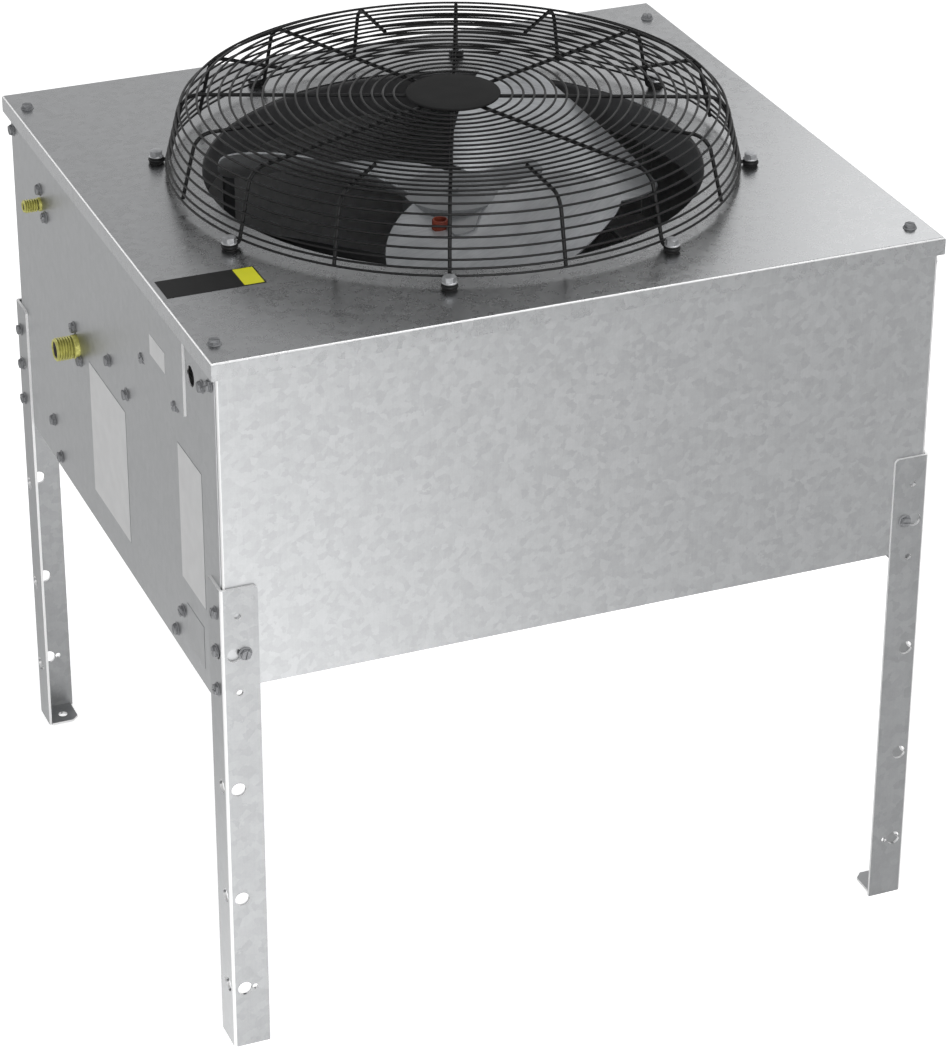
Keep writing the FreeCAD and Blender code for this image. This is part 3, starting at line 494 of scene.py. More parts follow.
@dataclass(frozen=True)
class GalvanisedSheet(Finish):
    """Hot-dip galvanised steel sheet with a small spangle.

    The zinc's crystals show as soft patches a few millimetres across that catch the light
    differently, over faint streaks left by the rolls. Along bends and cut edges a pale highlight is
    painted into the colour. Dust dulls the inside of the housing.
    """

    dark: str = "#9d9e9f"
    light: str = "#afb0b1"
    # colour of the highlight painted on bends and cut edges
    edge_highlight: str = "#e9e9e9"
    spangle_mm: float = 7.5
    speck_mm: float = 1.8
    streak_mm: Point = (1.6, 1.6, 60.0)
    cloud_share: float = 0.55
    speck_share: float = 0.25
    streak_share: float = 0.15
    gloss: Pair = (0.36, 0.42)
    metallic: float = 1.0
    edge_highlight_metallic: float = 0.25
    dull_metallic: float = 0.2
    dull_inside: bool = False
    bend: Pair = (0.995, 0.95)
    up_above: float | None = 0.0
    inside: Pair | None = None

    def edge_highlight_share(self, tree: Tree) -> Socket:
        """1 on bends and cut edges, where the highlight is painted, else 0.

        A bend looks along none of the axes. A cut edge looks up, above a height in metres, or
        along X or Y from nearer to the middle than the plate's own faces are.
        """
        normal = add(tree, "ShaderNodeNewGeometry").outputs["Normal"]
        place = add(tree, "ShaderNodeTexCoord").outputs["Object"]
        size, far = absolute(tree, normal), absolute(tree, place)
        widest = combined(tree, "MAXIMUM", *(size.outputs[axis] for axis in "XYZ"))
        shares = [ranged(tree, widest, 0.0, 1.0, *self.bend)]
        straight = (0.6, 0.9)
        if self.up_above is not None:
            way = add(tree, "ShaderNodeSeparateXYZ", links={"Vector": normal}).outputs["Z"]
            high = ranged(tree, far.outputs["Z"], 0.0, 1.0, self.up_above, self.up_above + MM)
            shares.append(combined(tree, "MINIMUM", ranged(tree, way, 0.0, 1.0, *straight), high))
        for axis, limit in zip("XY", self.inside or ()):
            faces = ranged(tree, size.outputs[axis], 0.0, 1.0, *straight)
            near = ranged(tree, far.outputs[axis], 1.0, 0.0, limit, limit + MM)
            shares.append(combined(tree, "MINIMUM", faces, near))
        return combined(tree, "MAXIMUM", *shares)

    def bright_share(self, tree: Tree) -> Socket:
        """1 on faces that look away from the housing's axis, and the dull share on the others."""
        place = add(tree, "ShaderNodeTexCoord").outputs["Object"]
        level = add(tree, "ShaderNodeVectorMath", {1: (1.0, 1.0, 0.0)}, {0: place},
                    operation="MULTIPLY")
        normal = add(tree, "ShaderNodeNewGeometry").outputs["Normal"]
        away = add(tree, "ShaderNodeVectorMath", links={0: normal, 1: level.outputs["Vector"]},
                   operation="DOT_PRODUCT")
        return ranged(tree, away.outputs["Value"], self.dull_metallic, 1.0, -0.1, 0.0)

    def dress(self, tree: Tree, shader: Node) -> None:
        """Crystal tone from warped cells, clouds and streaks; gloss varies from cell to cell."""
        warp = noise(tree, self.spangle_mm * 0.6, 3.0, 0.6)
        place = mapped(tree, (1.0 / (self.spangle_mm * MM),) * 3)
        bent = add(tree, "ShaderNodeVectorMath", links={0: place, 1: warp}, operation="ADD")
        cells = add(tree, "ShaderNodeTexVoronoi", {"Scale": 1.0},
                    {"Vector": bent.outputs["Vector"]})
        cell = add(tree, "ShaderNodeSeparateColor", links={"Color": cells.outputs["Color"]})
        clouds = noise(tree, self.spangle_mm * 1.4, 4.0, 0.65)
        streaks = noise(tree, self.streak_mm, 2.0, 0.5)
        crystal = blended(tree, self.cloud_share, cell.outputs["Red"], clouds)
        speckled = blended(tree, self.speck_share, crystal, noise(tree, self.speck_mm, 2.0, 0.6))
        mixed = blended(tree, self.streak_share, speckled, streaks)
        # Painted highlight: a pale colour and less metal on bends and cut edges.
        edge_highlight = self.edge_highlight_share(tree)
        metal = ranged(tree, edge_highlight, self.metallic, self.edge_highlight_metallic, 0.0, 1.0)
        if self.dull_inside:
            metal = combined(tree, "MINIMUM", metal, self.bright_share(tree))
        tree.links.new(metal, shader.inputs["Metallic"])
        self.coat(tree, shader, mixed, (0.25, 0.75), (mixed, 0.02, 0.2), (edge_highlight, self.edge_highlight))


@dataclass(frozen=True)
class PowderCoat(Finish):
    """Epoxy powder coat baked on wire: near black, satin, with a fine orange peel."""

    dark: str = "#0c0c0d"
    light: str = "#161617"
    gloss: Pair = (0.44, 0.56)
    shine: float = 0.3
    peel_mm: float = 1.2

    def dress(self, tree: Tree, shader: Node) -> None:
        """A slight tone change along the wire, and orange peel of about a millimetre."""
        self.coat(tree, shader, noise(tree, 25.0, 3.0), (0.35, 0.7),
                  (noise(tree, self.peel_mm), 0.05, 0.3),
                  plain={"Specular IOR Level": self.shine})


@dataclass(frozen=True)
class MillSheet(Finish):
    """Mill-finish aluminium sheet: pale and soft, with the fine lines of the rolls and handling."""

    dark: str = "#9b9da0"
    light: str = "#c6c8ca"
    gloss: Pair = (0.36, 0.52)
    metallic: float = 0.5
    lines_mm: Point = (120.0, 1.5, 6.0)
    marks_mm: float = 45.0

    def dress(self, tree: Tree, shader: Node) -> None:
        """Roll lines drawn out along X, clouds of handling marks."""
        lines = noise(tree, self.lines_mm)
        mixed = blended(tree, 0.55, lines, noise(tree, self.marks_mm, 4.0, 0.6))
        self.coat(tree, shader, mixed, (0.3, 0.7), (lines, 0.02, 0.3),
                  plain={"Metallic": self.metallic})


@dataclass(frozen=True)
class PassivatedZinc(Finish):
    """Zinc-plated metal: clear and bluish, or yellow with a greenish shimmer."""

    dark: str = "#8c8e92"
    light: str = "#c9cbcf"
    gloss: Pair = (0.22, 0.34)
    metallic: float = 1.0
    # colour of the shade painted into the thread's grooves, where pointiness is low
    groove: str | None = None
    patches_mm: float = 5.0
    grain_mm: float = 0.8

    def dress(self, tree: Tree, shader: Node) -> None:
        """Patches of tone a few millimetres across, finely brushed, and painted shade in the
        hollows.
        """
        painted_groove_shade = None
        if self.groove is not None:
            bulge = add(tree, "ShaderNodeNewGeometry").outputs["Pointiness"]
            painted_groove_shade = (ranged(tree, bulge, 1.0, 0.0, 0.42, 0.49), self.groove)
        self.coat(tree, shader, noise(tree, self.patches_mm, 3.0, 0.6), (0.3, 0.7),
                  (noise(tree, self.grain_mm), 0.02, 0.25), painted_groove_shade, {"Metallic": self.metallic})


@dataclass(frozen=True)
class Rubber(Finish):
    """Moulded EPDM rubber: black, dull, a little dusty."""

    dark: str = "#161616"
    light: str = "#2b2a29"
    gloss: Pair = (0.6, 0.8)
    dust_mm: float = 4.0

    def dress(self, tree: Tree, shader: Node) -> None:
        """Dust in small patches over an even dull black."""
        self.coat(tree, shader, noise(tree, self.dust_mm, 4.0, 0.6), (0.4, 0.75))


@dataclass(frozen=True)
class GlossPaint(Finish):
    """Air-dried enamel on steel, sprayed, with a little dust in it."""

    dark: str = "#3a3a3b"
    light: str = "#454546"
    gloss: Pair = (0.45, 0.6)
    peel_mm: float = 2.0

    def dress(self, tree: Tree, shader: Node) -> None:
        """Soft tone changes over a faint orange peel."""
        self.coat(tree, shader, noise(tree, 30.0, 3.0, 0.6), (0.35, 0.7),
                  (noise(tree, self.peel_mm), 0.05, 0.3))


@dataclass(frozen=True)
class CopperTube(Finish):
    """Drawn copper tube, gone a little brown: bright ridges of handling over a warm dull metal."""

    dark: str = "#8a4b2c"
    light: str = "#c9794e"
    gloss: Pair = (0.42, 0.28)
    tarnish_mm: float = 18.0

    def dress(self, tree: Tree, shader: Node) -> None:
        """Brown clouds over copper."""
        self.coat(tree, shader, noise(tree, self.tarnish_mm, 4.0, 0.6), (0.35, 0.65),
                  plain={"Metallic": 1.0})


@dataclass(frozen=True)
class FinStock(Finish):
    """Thin aluminium fins: pale, with fine waves across each."""

    dark: str = "#bdbec0"
    light: str = "#dadbdc"
    gloss: Pair = (0.38, 0.5)
    metallic: float = 0.2
    dust_mm: float = 35.0
    wave_mm: float = 11.0
    bands_in_a_unit: float = 3.2  # how often the wave texture repeats by itself

    def dress(self, tree: Tree, shader: Node) -> None:
        """Dust in clouds, and corrugation along Y."""
        per_metre = 1.0 / (self.wave_mm * MM * self.bands_in_a_unit)
        waves = add(tree, "ShaderNodeTexWave", {"Scale": 1.0},
                    {"Vector": mapped(tree, (0.0, per_metre, 0.0))}, bands_direction="Y")
        self.coat(tree, shader, noise(tree, self.dust_mm, 3.0, 0.6), (0.3, 0.7),
                  (waves.outputs["Fac"], 0.6, 0.5), plain={"Metallic": self.metallic})


@dataclass(frozen=True)
class LabelFilm(Finish):
    """Printed vinyl film, smooth and satin."""

    dark: str = "#b9bbbc"
    light: str = "#c2c4c5"
    roughness: float = 0.4
    shine: float = 0.5

    def dress(self, tree: Tree, shader: Node) -> None:
        """A nearly even tone, rolled on with faint ripples."""
        ripples = noise(tree, 20.0)
        self.coat(tree, shader, ripples, (0.3, 0.7), (ripples, 0.05, 0.2),
                  plain={"Roughness": self.roughness, "Specular IOR Level": self.shine})


SHEET_METAL = GalvanisedSheet("galvanised_sheet_sides", dark="#979899", light="#abacad",
                              streak_share=0.45, dull_inside=True)
COVER_METAL = GalvanisedSheet("galvanised_sheet_cover", dark="#979899", light="#abacad",
                              streak_share=0.45, inside=(0.0, 0.345))
# On the lid a wider bend mask spreads the painted highlight along its folded edges.
LID_METAL = GalvanisedSheet("galvanised_sheet_lid", gloss=(0.25, 0.32), bend=(0.97, 0.86),
                            up_above=None)
FACE_METAL = GalvanisedSheet("galvanised_sheet_ends", dull_inside=True)
# The legs' near-white edge colour is a painted highlight on their bends and cut edges.
LEG_METAL = GalvanisedSheet("galvanised_plate_legs", dark="#919293", light="#a2a3a4",
                            edge_highlight="#f6f6f6", spangle_mm=9.0, metallic=0.8, up_above=0.1,
                            inside=(0.375, 0.345))
GUARD_COAT = PowderCoat("black_powder_coat")
HUB_COAT = PowderCoat("black_powder_coat_hub", dark="#1b1b1b", light="#1f1f1f",
                      gloss=(0.7, 0.8), shine=0.15)
BLADE_METAL = MillSheet("mill_aluminium_blades")
HUB_METAL = MillSheet("mill_aluminium_hub", dark="#77797b", light="#9c9ea0")
ZINC_BOLT = PassivatedZinc("bright_zinc_bolts", dark="#a0a1a3", light="#c0c1c3", metallic=0.8,
                           gloss=(0.4, 0.5))
SCREW_ZINC = PassivatedZinc("dull_zinc_screws", dark="#7a7b7d", light="#929395", metallic=0.6,
                            gloss=(0.55, 0.65))
# The yellow fittings' groove colour is painted shade in their threads.
YELLOW_ZINC = PassivatedZinc("yellow_zinc_fittings", dark="#a19e50", light="#cdca72",
                             metallic=0.35, gloss=(0.35, 0.5), groove="#55532c")
GROMMET_RUBBER = Rubber("black_rubber_grommets")
RING_PAINT = GlossPaint("black_enamel_ring")
MOTOR_PAINT = GlossPaint("black_enamel_motor", dark="#2b2c2d", light="#37383a")
PLUG_RUBBER = GlossPaint("red_brown_rubber", dark="#63210f", light="#83351d",
                         gloss=(0.55, 0.7))
# Dark sleeves in the fittings' bores: painted shade in the holes.
BORE_SHADE_PAINT = GlossPaint("painted_shade_bores", dark="#4d4853", light="#5c5662", gloss=(0.6, 0.7))
COPPER = CopperTube("copper_tube")
FINS = FinStock("aluminium_fin_stock")
PALE_FILM = LabelFilm("pale_label_film", dark="#c8c8c8", light="#cfcfcf")
CLEAR_FILM = LabelFilm("clear_label_film", dark="#9fa0a1", light="#a6a7a8")
DARK_FILM = LabelFilm("black_label_film", dark="#131313", light="#191919", roughness=0.5,
                      shine=0.15)
YELLOW_FILM = LabelFilm("yellow_label_film", dark="#cfce08", light="#d6d50e")
# Grey strips past the films' top and front edges: painted shadow lines.
PAINTED_SHADOW_FILM = LabelFilm("painted_shadow_film_edge", dark="#6f7173", light="#7a7c7e")


def placed(name: str, data: bpy.types.ID) -> bpy.types.Object:
    """A new object in the scene for a mesh, a camera or a lamp."""
    new = bpy.data.objects.new(name, data)
    bpy.context.scene.collection.objects.link(new)
    return new


@dataclass
class Piece:
    """A finished piece: closed surfaces in millimetres, its finish, its body and its place.

    It stands for the CAD nodes that it replaces. Edges that turn more than the sharp angle, in
    degrees, stay sharp.
    """

    name: str
    shells: list[Shell]
    finish: Finish
    slot: str
    replaces: tuple[str, ...] = ()
    body: Body = Body.CABINET
    sharp: float = 40.0

    def build(self) -> None:
        """Makes the mesh in metres, with its object at the origin."""
        shell = joined(self.shells)
        mesh = bpy.data.meshes.new(self.name)
        faces = [face for group in shell.faces for face in group.tolist()]
        mesh.from_pydata((shell.points * MM).tolist(), [], faces)
        mesh.shade_smooth()
        mesh.set_sharp_from_angle(angle=math.radians(self.sharp))
        mesh.materials.append(self.finish.material())
        piece = placed(self.name, mesh)
        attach(piece, self.body.value)
        if self.replaces:
            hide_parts(*self.replaces)
        log.info("%s: %d points, %d faces", self.name, len(mesh.vertices), len(mesh.polygons))


@dataclass
class WireGuard:
    """The round wire guard over the fan: rings welded on spokes, with a plate in the middle.

    The rings lie over the spokes on the flat top and round them on the sloping side.
    """

    top: float = 81.6
    ring_wire: float = 2.6
    spoke_wire: float = 4.2
    weld: float = 0.3
    first_ring: float = 63.7
    pitch: float = 11.7
    top_rings: int = 19
    side_rings: tuple[Pair, ...] = (
        (285.6, 77.4), (293.8, 69.0), (297.5, 57.7), (300.2, 46.8), (302.9, 35.7),
        (305.6, 24.7), (307.7, 15.9), (309.4, 8.7))
    hub_radius: float = 51.0
    hub_plate: float = 3.0
    hub_flat: float = 0.7  # share of the plate's radius that is flat on top
    hub_sides: int = 96
    spokes: int = FEET
    spoke_start: float = 37.0
    short_start: float = 204.0
    shoulder_radius: float = 289.3
    shoulder_bend: float = 22.0
    foot_bend: float = 5.0
    side_base: Pair = (307.6, 3.5)
    short_end: Pair = (306.5, 8.0)
    foot_radius: float = FEET_CIRCLE
    eye: float = 6.9
    wire_sides: int = 10

    def rings(self) -> list[Shell]:
        """Rings of the flat top, evenly spaced, and of the sloping side."""
        radius = self.ring_wire / 2
        flat = [ring(self.first_ring + self.pitch * i, LID + self.top, radius)
                for i in range(self.top_rings)]
        return flat + [ring(r, LID + h, radius) for r, h in self.side_rings]

    def spoke(self, corners: list[Pair]) -> Shell:
        """A wire bent in an upright plane: path (r, 0, h), its corners rounded."""
        bends = (self.shoulder_bend, self.foot_bend)[:len(corners) - 2]
        flat = rounded(corners, bends, 12)
        path = np.stack([flat[:, 0], np.zeros(len(flat)), LID + flat[:, 1]], axis=1)
        return wire(path, self.spoke_wire / 2, self.wire_sides, ALONG_Y)

    def wires(self) -> list[Shell]:
        """Long spokes out to the eyes at the feet, and short ones between them."""
        level = self.top - (self.ring_wire + self.spoke_wire) / 2 + self.weld
        shoulder = (self.shoulder_radius, level)
        foot = (self.foot_radius - self.eye, self.side_base[1])
        long_wire = self.spoke([(self.spoke_start, level), shoulder, self.side_base, foot])
        short_wire = self.spoke([(self.short_start, level), shoulder, self.short_end])
        step = 360.0 / self.spokes
        eye = ring(self.eye, LID + self.side_base[1], self.spoke_wire / 2, 32, self.wire_sides)
        return [long_wire.at(turns(self.spokes, step / 2)), short_wire.at(turns(self.spokes)),
                eye.at(turns(self.spokes, step / 2, (self.foot_radius, 0, 0)))]

    def hub(self) -> Shell:
        """The plate: a disc with a rolled edge and a flat top."""
        low = LID + self.top - self.ring_wire / 2 + self.weld
        r, plate = self.hub_radius, self.hub_plate
        share = np.linspace(0.0, math.pi, 9)
        edge = np.stack([r - plate / 2 + plate / 2 * np.sin(share),
                         low + plate / 2 - plate / 2 * np.cos(share)], axis=1)
        top = [(r * self.hub_flat, low + plate), (1.0, low + plate)]
        return lathe(np.vstack([[(1.0, low)], edge, top]), self.hub_sides)

    def build(self) -> None:
        """Makes the guard and its plate."""
        sides = tuple(f"guard_side_{i + 1}" for i in range(self.spokes))
        Piece("guard_wires", self.rings() + self.wires(), GUARD_COAT, "guard_coating",
              ("guard_top",) + sides).build()
        Piece("guard_plate", [self.hub()], HUB_COAT, "guard_coating", ("guard_hub",)).build()


@dataclass(frozen=True)
class HexHead:
    """A hexagon head: flange or washer, six flats, a chamfered top and, on screws, a slot."""

    flange_radius: float
    flange_height: float
    across_flats: float
    height: float
    slot_width: float = 0.0
    slot_depth: float = 0.0
    sides: int = 24
    sink: float = 0.2  # how far a part starts below the face that it stands on
    gap: float = 0.05
    chamfer: float = 0.6  # drop of the chamfer for each millimetre outwards
    top_share: float = 0.96  # size of the top's edge, as a share of the flats
    slot_draw: Pair = (0.94, 0.9)  # how far each half draws in at its top, along and across

    def flange(self) -> Shell:
        """A thin round flange that slopes up to the hexagon."""
        r, h = self.flange_radius, self.flange_height
        return lathe(np.array([(0.5, -self.sink), (r - 0.3, -self.sink), (r, 0.25 * h),
                               (r - 0.25, 0.55 * h), (self.across_flats * 0.56, h), (0.5, h)]),
                     self.sides)

    def hexagon(self, low: float, high: float) -> Shell:
        """The hexagon: radius (flats / 2) / cos(a - nearest flat), cut by the chamfer's cone."""
        turn = np.linspace(0.0, 2 * math.pi, self.sides, endpoint=False)
        flat = self.across_flats / 2
        radius = flat / np.cos((turn + math.pi / 6) % (math.pi / 3) - math.pi / 6)
        drop = (radius - flat) * self.chamfer
        rows = [(radius, np.full(self.sides, low)), (radius, high - drop - self.gap),
                (np.full(self.sides, flat * self.top_share), np.full(self.sides, high))]
        points = np.stack([np.stack([r * np.cos(turn), r * np.sin(turn), z], 1)
                           for r, z in rows])
        return grid(points, caps=True)

    def slotted_half(self, side: int) -> Shell:
        """Half of the hexagon's top, beside the slot."""
        flat, corner = self.across_flats / 2, self.across_flats / math.sqrt(3)
        gap, low, high = self.slot_width / 2, self.height - self.slot_depth, self.height
        reach = corner - gap * math.tan(math.radians(30))
        x = np.array([-reach, reach, corner / 2, -corner / 2])
        y = np.array([gap, gap, flat, flat])
        along, across = self.slot_draw
        inset = np.array([1.0, 1.0, across, across])
        rows = [np.stack([x, y * side, np.full(4, low - self.gap)], 1),
                np.stack([x * along, y * inset * side, np.full(4, high)], 1)]
        return grid(np.stack(rows), caps=True)

    def shells(self) -> list[Shell]:
        """The whole head."""
        low = self.flange_height - self.sink
        if not self.slot_width:
            return [self.flange(), self.hexagon(low, self.height)]
        lower = self.hexagon(low, self.height - self.slot_depth)
        return [self.flange(), lower, self.slotted_half(1), self.slotted_half(-1)]


@dataclass
class GuardFixings:
    """The rubber grommets that hold the guard's eyes, and the flanged bolts through them."""

    count: int = FEET
    circle: float = FEET_CIRCLE
    grommet_radius: float = 7.9
    grommet_height: float = 7.0
    groove_radius: float = 5.0
    groove: Pair = (1.4, 5.6)
    bolt: HexHead = HexHead(8.2, 1.4, 12.5, 6.8)
    stem_radius: float = 2.5
    stem_length: float = 9.0
    sides: int = 32
    stem_sides: int = 12

    def grommet(self) -> Shell:
        """A turned rubber body with rounded lips and the groove for the wire."""
        r, top = self.grommet_radius, self.grommet_height
        low, high = self.groove
        inner = self.stem_radius
        profile = [(inner, 0.0), (r - 0.5, 0.0), (r, 0.4), (r, low - 0.3), (r - 0.4, low),
                   (self.groove_radius, low + 0.2), (self.groove_radius, high - 0.2),
                   (r - 0.6, high), (r, high + 0.3), (r - 0.1, top - 0.5), (r - 0.7, top),
                   (inner, top)]
        return lathe(np.array(profile), self.sides, annular=True)

    def build(self) -> None:
        """Makes all the grommets and bolts."""
        first = 180.0 / self.count
        places = turns(self.count, first, (self.circle, 0, LID))
        Piece("grommets", [self.grommet().at(places)], GROMMET_RUBBER, "rubber",
              ("guard_grommets",)).build()
        seats = turns(self.count, first, (self.circle, 0, LID + self.grommet_height))
        stem = lathe(np.array([(self.stem_radius, -self.grommet_height - self.stem_length),
                               (self.stem_radius, 0.0)]), self.stem_sides)
        heads = [shell.at(seats) for shell in self.bolt.shells() + [stem]]
        Piece("guard_bolt_heads", heads, ZINC_BOLT, "zinc_bolts", ("guard_bolts",),
              sharp=25.0).build()


@dataclass
class SheetScrews:
    """Slotted hexagon-washer screws that hold the sheets, legs and fittings together."""

    head: HexHead = HexHead(7.5, 1.2, 10.6, 4.8, 1.3, 1.2)
    left: tuple[Pair, ...] = (
        (246.4, 744.0), (227.5, 717.9), (133.4, 624.6), (113.4, 593.3), (348.0, 776.6),
        (1.2, 644.3), (-61.5, 632.9), (-239.8, 703.4), (-325.8, 764.5), (-351.7, 777.6),
        (238.4, 461.5), (214.5, 425.4), (-235.8, 463.7), (-211.8, 429.1), (-130.6, 707.6))
    right: tuple[Pair, ...] = (
        (348.0, 777.0), (-351.7, 777.0), (0.0, 777.0), (-230.0, 446.0), (-230.0, 426.0),
        (230.0, 446.0), (230.0, 426.0))
    lid: tuple[Pair, ...] = (
        (-383.8, 323.7), (377.6, 322.6), (377.2, -335.2), (-382.3, -328.9))
    leg_face: float = 398.5
    leg_end: float = 370.0
    leg_drops: tuple[float, ...] = (285.0, 329.0, 374.0)
    leg_side_y: float = 354.0
    leg_front_x: float = 373.5

    def group(self, name: str, facing: Facing, places: list[Point]) -> None:
        """One set of screws that face one way, each turned as it happened to stop."""
        spin = np.random.default_rng(len(name) + len(places)).uniform(0, math.pi, len(places))
        matrices = facing.matrices(np.array(places, dtype=float), spin)
        Piece(name, [shell.at(matrices) for shell in self.head.shells()], SCREW_ZINC, "zinc_bolts",
              sharp=25.0).build()

    def build(self) -> None:
        """Makes every set of screws."""
        self.group("screws_left", Facing.LEFT, [(-SIDE_X, y, z) for y, z in self.left])
        self.group("screws_right", Facing.RIGHT, [(SIDE_X, y, z) for y, z in self.right])
        self.group("screws_lid", Facing.UP, [(x, y, LID) for x, y in self.lid])
        for name, facing, side in (("left", Facing.LEFT, -1), ("right", Facing.RIGHT, 1)):
            self.group(f"screws_legs_{name}", facing,
                       [(side * self.leg_face, end * self.leg_side_y, LID - drop)
                        for end in (-1, 1) for drop in self.leg_drops])
        for name, facing, end in (("front", Facing.FRONT, -1), ("back", Facing.BACK, 1)):
            self.group(f"screws_legs_{name}", facing,
                       [(side * self.leg_front_x, end * self.leg_end, LID - self.leg_drops[1])
                        for side in (-1, 1)])


@dataclass
class PipeFitting:
    """A flare connector through the left side: threaded stub with a cone seat and an open bore."""

    name: str
    node: str
    y: float
    drop: float
    thread_radius: float
    bore_radius: float
    length: float
    collar: float
    pitch: float
    relief: float = 1.5
    depth: float = 1.6
    chamfer: float = 0.5
    seat: Pair = (0.9, 0.8)
    shade_sleeve: float = 0.3
    shade_sleeve_lap: float = 0.05
    shade_sleeve_ends: Pair = (1.0, 1.4)
    rows_per_turn: int = 10
    sides: int = 40

    def profile(self) -> tuple[Array, Array]:
        """The section's (radius, distance out from the side) and the share of thread at each."""
        start = self.collar + self.relief
        end = self.length - self.depth
        rows = int((end - start) / self.pitch * self.rows_per_turn)
        out = np.linspace(start, end, rows)
        r, root, bore = self.thread_radius, self.thread_radius - self.depth, self.bore_radius
        inner, cut = -SHEET - TAIL, self.chamfer
        wide, deep = self.seat
        before = [(root, inner), (root, -SHEET), (r, -SHEET), (r, self.collar - cut),
                  (r - cut, self.collar), (root, self.collar + 0.2), (root, start - 0.2)]
        after = [(root, self.length - 0.4), (root - cut, self.length),
                 (bore + wide, self.length), (bore, self.length - deep), (bore, inner)]
        section = np.vstack([before, np.stack([np.full(rows, r), out], axis=1), after])
        share = np.concatenate([np.zeros(len(before)), np.ones(rows), np.zeros(len(after))])
        return section, share

    def shell(self) -> Shell:
        """Thread as a surface: radius R - d |2 frac(z / p - a / 2 pi) - 1| where the share is 1."""
        section, share = self.profile()
        turn = np.linspace(0.0, 2 * math.pi, self.sides, endpoint=False)
        phase = section[:, 1:] / self.pitch - turn / (2 * math.pi)
        groove = np.abs(2 * (phase % 1.0) - 1) * self.depth * share[:, None]
        radius = section[:, :1] - groove
        out = np.repeat(section[:, 1:], self.sides, axis=1)
        points = np.stack([-SIDE_X - out, self.y + radius * np.cos(turn),
                           LID - self.drop + radius * np.sin(turn)], axis=-1)
        return grid(points, wrap_rows=True)

    def bore(self) -> Shell:
        """A dark sleeve along -X inside the bore that ends behind the lip: painted shade in the
        hole.
        """
        outer, inner = self.bore_radius + self.shade_sleeve_lap, self.bore_radius - self.shade_sleeve
        low, high = self.shade_sleeve_ends[0] - SHEET - TAIL, self.length - self.shade_sleeve_ends[1]
        shell = lathe(np.array([(inner, low), (outer, low), (outer, high), (inner, high)]),
                      self.sides, annular=True)
        x, y, z = shell.points.T
        points = np.stack([-SIDE_X - z, self.y + y, LID - self.drop + x], axis=1)
        return Shell(points, shell.faces).outward()

    def build(self) -> None:
        """Makes the fitting and the sleeve of painted shade in its bore."""
        Piece(self.name, [self.shell()], YELLOW_ZINC, "yellow_zinc", (self.node,),
              sharp=50.0).build()
        Piece(f"{self.name}_bore", [self.bore()], BORE_SHADE_PAINT, "yellow_zinc", sharp=50.0).build()


@dataclass
class InnerPipe:
    """The copper pipe from a fitting's tail, turned down to the coil's casing."""

    name: str
    node: str
    y: float
    drop: float
    bore_radius: float
    bend_share: float = 3.2
    bend_steps: int = 14
    sides: int = 20
    least_step: float = 0.01
    low: float = 541.0

    def build(self) -> None:
        """A round pipe along (x, z) points with one bend, its ends capped."""
        radius = self.bore_radius + SHEET
        x, z = -SIDE_X + SHEET + TAIL, LID - self.drop
        bend = radius * self.bend_share
        flat = rounded([(x, z), (x + bend, z), (x + bend, self.low)], (bend,),
                       self.bend_steps)
        path = np.stack([flat[:, 0], np.full(len(flat), self.y), flat[:, 1]], axis=1)
        steps = np.linalg.norm(np.diff(path, axis=0), axis=1)
        path = path[np.concatenate([[True], steps > self.least_step])]
        Piece(self.name, [wire(path, radius, self.sides, ALONG_Y)], COPPER, "copper_pipe",
              (self.node,)).build()


